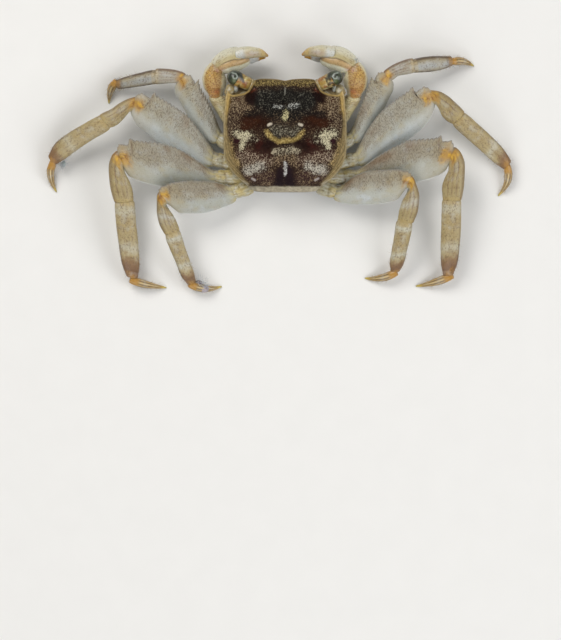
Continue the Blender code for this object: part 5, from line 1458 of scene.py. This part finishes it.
def add_sternum():
    """The breast plate, a flat bowl with seams between the leg sockets."""
    middle = np.array((0, STERNUM_MIDDLE_Y))
    shares = [0.02, 0.5, 1.0, 1.0, 1.0, 0.96, 0.9, 0.84, 0.76, 0.68, 0.6, 0.5, 0.4, 0.3, 0.2, 0.1, 0.02]
    heights = [3.7, 3.7, 3.7, 3.0, 2.3, 1.85, 1.55, 1.35, 1.28, 1.24, 1.22, 1.2, 1.2, 1.2, 1.2, 1.2, 1.2]
    half = np.array(STERNUM)
    outline = outline_curve(np.vstack([half, (half * (-1, 1))[::-1][1:-1]]), STERNUM_COLUMNS)
    outline[:, 1] -= 0.4 * ease(-9.0, -9.8, outline[:, 1])
    patch = ringed([np.column_stack([middle + (outline - middle) * share, np.full(STERNUM_COLUMNS, z)])
                    for share, z in zip(shares, heights)])
    x, y = np.abs(patch.points[:, 0]), patch.points[:, 1]
    low = ease(3.2, 2.4, patch.points[:, 2])
    cuts = [[(1.0, 0.6), (5.4, -0.9)], [(2.0, -2.0), (8.9, -3.2)], [(3.0, -4.4), (9.1, -5.6)],
            [(4.0, -6.6), (8.3, -7.9)], [(4.8, -8.6), (6.6, -9.4)]]
    seams = np.clip(sum(bell(away(x, y, cut), 0.0, 0.22) for cut in cuts), 0, 1) * low
    patch.push(-0.14 * seams)
    painted(patch, "b3b5b0", ("8f6f49", seams * 0.8),
            ("a7adb8", bell(x, 6.0, 1.6) * 0.4), ("a88d62", ease(0.6, 1.6, y) * 0.6))
    build("sternum_shell", patch, "under", "underside_shell", "sternum")


def add_pleon():
    """The folded tail: flat under the body, then bent up behind it in rounded plates."""
    rows = np.array(PLEON)
    line = rows[:, :2]
    step = lengths_along(line)
    # The way through the tail's thickness at each row, inward
    tops = []
    for k in range(len(rows)):
        run = line[min(k + 1, len(line) - 1)] - line[max(k - 1, 0)]
        run = np.array((-1.0, 0.0)) if k < PLEON_FLAT_ROWS else unit(run)
        tops.append((run[1], -run[0]))
    places = np.linspace(0, step[-1], TAIL_ROWS)
    line, half, tops = (follow(step, part, places) for part in (line, rows[:, 2], tops))
    # A rounder bend where the tail turns under the body
    window = np.hanning(15)[1:-1] / 7.0
    line, tops = (np.stack([np.convolve(np.pad(column, 6, "edge"), window, "valid") for column in part.T], -1)
                  for part in (line, tops))
    tops = unit(tops)
    cuts = [3.6, 6.55, 8.5, 9.8, 11.5, 13.1]
    seams = sum(bell(places, cut, 0.13) for cut in cuts)
    # Each plate rises to its hind edge and has a rounded side
    spans = np.array([0.0] + cuts + [places[-1]])
    piece = np.clip(np.searchsorted(spans, places, "right") - 1, 0, len(cuts))
    within = (places - spans[piece]) / (spans[piece + 1] - spans[piece])
    hump = np.clip(np.sin(np.pi * within), 0, None) ** 0.6
    upright = ease(8.5, 10.5, places)
    half = half * (1 - 0.4 * ease(-3.2, 0.0, places - places[-1]) ** 2) * (1 - 0.07 * upright * (1 - hump))
    wide, high = rounded(TAIL_COLUMNS, 2.8, 2.4)
    rings = []
    for middle, way, seam, rise, stand, reach in zip(line, tops, seams, hump, upright, half):
        lift = high * (PLEON_THICKNESS / 2 - 0.1 * seam) + np.sign(high) * 0.1 * stand * rise * high ** 2
        lift = lift + (0.05 + 0.5 * stand) * wide ** 2 + 0.08 * stand
        rings.append(np.column_stack([wide * reach * (1 - 0.03 * seam), middle + way * lift[:, None]]))
    patch = ringed(rings)
    patch.points[:, 2] = np.maximum(patch.points[:, 2], 0.01)
    x, z = np.abs(patch.points[:, 0]), patch.points[:, 2]
    groove = np.repeat(seams, TAIL_COLUMNS)
    hind = np.repeat(bell(within, 0.88, 0.1) * upright, TAIL_COLUMNS)
    uneven = noise(patch.points, 1.2, 120)
    painted(patch, "a7adb8", ("98a6bb", bell(x, 0.0, 0.9)), ("b9bab3", ease(2.5, 4.5, x) * 0.7),
            ("a39d86", ease(0.8, 2.5, z) * 0.7), ("8f8a78", ease(0.0, 0.6, uneven) * 0.5 * ease(0.8, 2.5, z)),
            ("c6c2ad", hind * 0.8), ("7d6a4a", np.clip(groove, 0, 1) * 0.75))
    build("pleon_shell", patch, "under", "underside_shell", "pleon")


def add_mouthpart(word, side):
    """One of the two plates that close the mouth."""
    outline = outline_curve(np.array(MOUTHPART), MOUTHPART_COLUMNS)
    middle = np.array(MOUTHPART_MIDDLE)
    rings = []
    for share, depth in [(0.02, 0.0), (0.5, 0.0), (0.85, 0.0), (0.96, 0.1), (1.0, 0.3), (0.99, 0.5), (0.95, 0.75),
                         (0.86, 0.92), (0.7, 1.0), (0.5, 1.05), (0.3, 1.06), (0.1, 1.07), (0.02, 1.07)]:
        spots = middle + (outline - middle) * share
        z = mouth_floor_z(spots[:, 1]) - 0.25 - GAP - depth
        rings.append(np.column_stack([spots * (side, 1), z]))
    patch = ringed(rings)
    x, y = np.abs(patch.points[:, 0]), patch.points[:, 1]
    cuts = (([(1.2, 5.3), (3.4, 6.0)], 0.16), ([(2.6, 2.8), (2.9, 8.2)], 0.12))
    cut = np.clip(sum(bell(away(x, y, path), 0.0, width) for path, width in cuts), 0, 1)
    patch.push(-0.12 * cut)
    painted(patch, "8a6c42", ("b8b39c", ease(5.4, 7.0, y) * 0.5), ("c4c3b4", bell(x, 1.9, 0.4) * 0.6),
            ("4d3420", cut * 0.8), ("6a4c2c", ease(1.6, 0.8, x) * 0.7))
    build(f"mouthpart_{word}_shell", patch, "mouth", "mouth_shell", f"mouthpart_{word}")


add_back()
add_sternum()
add_pleon()
lobe("tail_base", (0.0, -7.9, 1.75), (5.0, 2.35, 0.95), ("b0b2ae", "a3a69f"), "under", "underside_shell", 310)
add_legs()
for word, side in (("left", -1), ("right", 1)):
    add_mouthpart(word, side)
    add_claw(word, side)
    add_eye(word, side)
    add_face(word, side)
add_face_middle()
# Threads and crust caught on the crab
add_fluff("ankle_fluff_leg_2_left", (-44.6, -5.5, 2.2), (0.7, 0.8, 0.5), 150, "lower_leg_shell", 301)
lobe("ankle_crust_leg_2_left", (-44.4, -5.4, 2.2), (0.4, 0.6, 0.35), ("a9b5b8", "7c888c"), "fluff",
     "lower_leg_shell", 307)
add_fluff("ankle_fluff_leg_2_right", (44.9, -5.0, 2.6), (0.3, 0.3, 0.3), 26, "lower_leg_shell", 302)
add_fluff("ankle_fluff_leg_1_left", (-33.7, 11.4, 2.4), (0.35, 0.3, 0.3), 30, "lower_leg_shell", 303)
add_fluff("ankle_fluff_leg_1_right", (33.6, 14.4, 2.3), (0.8, 0.4, 0.3), 40, "lower_leg_shell", 304)
add_fluff("claw_fluff_right", (14.3, 15.2, 6.6), (0.3, 0.3, 0.3), 24, "claw_shell", 305)
add_fluff("ankle_fluff_leg_4_left", (-16.9, -29.6, 2.2), (1.3, 1.2, 0.4), 190, "lower_leg_shell", 306)
lobe("ankle_crust_leg_4_left", (-16.4, -30.5, 1.6), (1.15, 0.8, 0.85), ("a89fa5", "6f676a"), "fluff",
     "leg_claw_shell", 308, (0.0, 0.0, -0.2))
lobe("ankle_crust_upper_leg_4_left", (-17.3, -29.3, 2.0), (0.7, 0.55, 0.45), ("b3aaa8", "6f676a"), "fluff",
     "leg_claw_shell", 309)


# Floor, lights and camera

FLOOR_REACH, FLOOR_LEVEL = 2, -0.00002
floor_mesh = bpy.data.meshes.new("floor")
corners = [(x * FLOOR_REACH, y * FLOOR_REACH, 0) for x, y in ((-1, -1), (1, -1), (1, 1), (-1, 1))]
floor_mesh.from_pydata(corners, [], [(0, 1, 2, 3)])
floor = bpy.data.objects.new("floor", floor_mesh)
floor.location.z = FLOOR_LEVEL
bpy.context.scene.collection.objects.link(floor)
floor_look = Look("floor", 0.9)
paper = floor_look.noise(floor_look.place(name=None), 6.0, 3.0)
floor_mesh.materials.append(floor_look.finish(floor_look.mix(paper, "e0dfdc", "e4e3e0")))


def add_light(name, place, size, power, colour=(1.0, 1.0, 1.0)):
    """A soft square light that shines on the middle of the crab."""
    lamp = bpy.data.lights.new(name, "AREA")
    lamp.size, lamp.energy, lamp.color = size, power, colour
    made = bpy.data.objects.new(name, lamp)
    made.location = place
    direction = made.location * -1
    made.rotation_euler = direction.to_track_quat("-Z", "Y").to_euler()
    bpy.context.scene.collection.objects.link(made)


add_light("key", (0.22, -0.28, 0.42), 0.3, 1.85, (1.0, 0.98, 0.95))
add_light("fill", (-0.4, 0.1, 0.38), 0.4, 1.6, (0.97, 0.98, 1.0))
add_light("back", (0.1, 0.45, 0.35), 0.35, 1.05)
world = bpy.context.scene.world or bpy.data.worlds.new("world")
bpy.context.scene.world = world
world.use_nodes = True
sky = world.node_tree.nodes["Background"].inputs
sky["Color"].default_value = (1.0, 1.0, 1.0, 1.0)
sky["Strength"].default_value = 0.27
bpy.context.scene.view_settings.view_transform = "Standard"

LENS, SENSOR = 300.0, 36.0
VIEW_HEIGHT = 0.128  # 640 pixels of 0.2 mm
VIEW_CENTRE = (0.0009, 0.0288, 0.006)
camera_data = bpy.data.cameras.new("camera")
camera_data.lens, camera_data.sensor_width = LENS, SENSOR
camera_data.clip_end = 20.0
camera = bpy.data.objects.new("camera", camera_data)
camera.location = (*VIEW_CENTRE[:2], VIEW_CENTRE[2] + VIEW_HEIGHT * LENS / SENSOR)
camera.rotation_euler = (0, 0, math.pi)
bpy.context.scene.collection.objects.link(camera)
bpy.context.scene.camera = camera
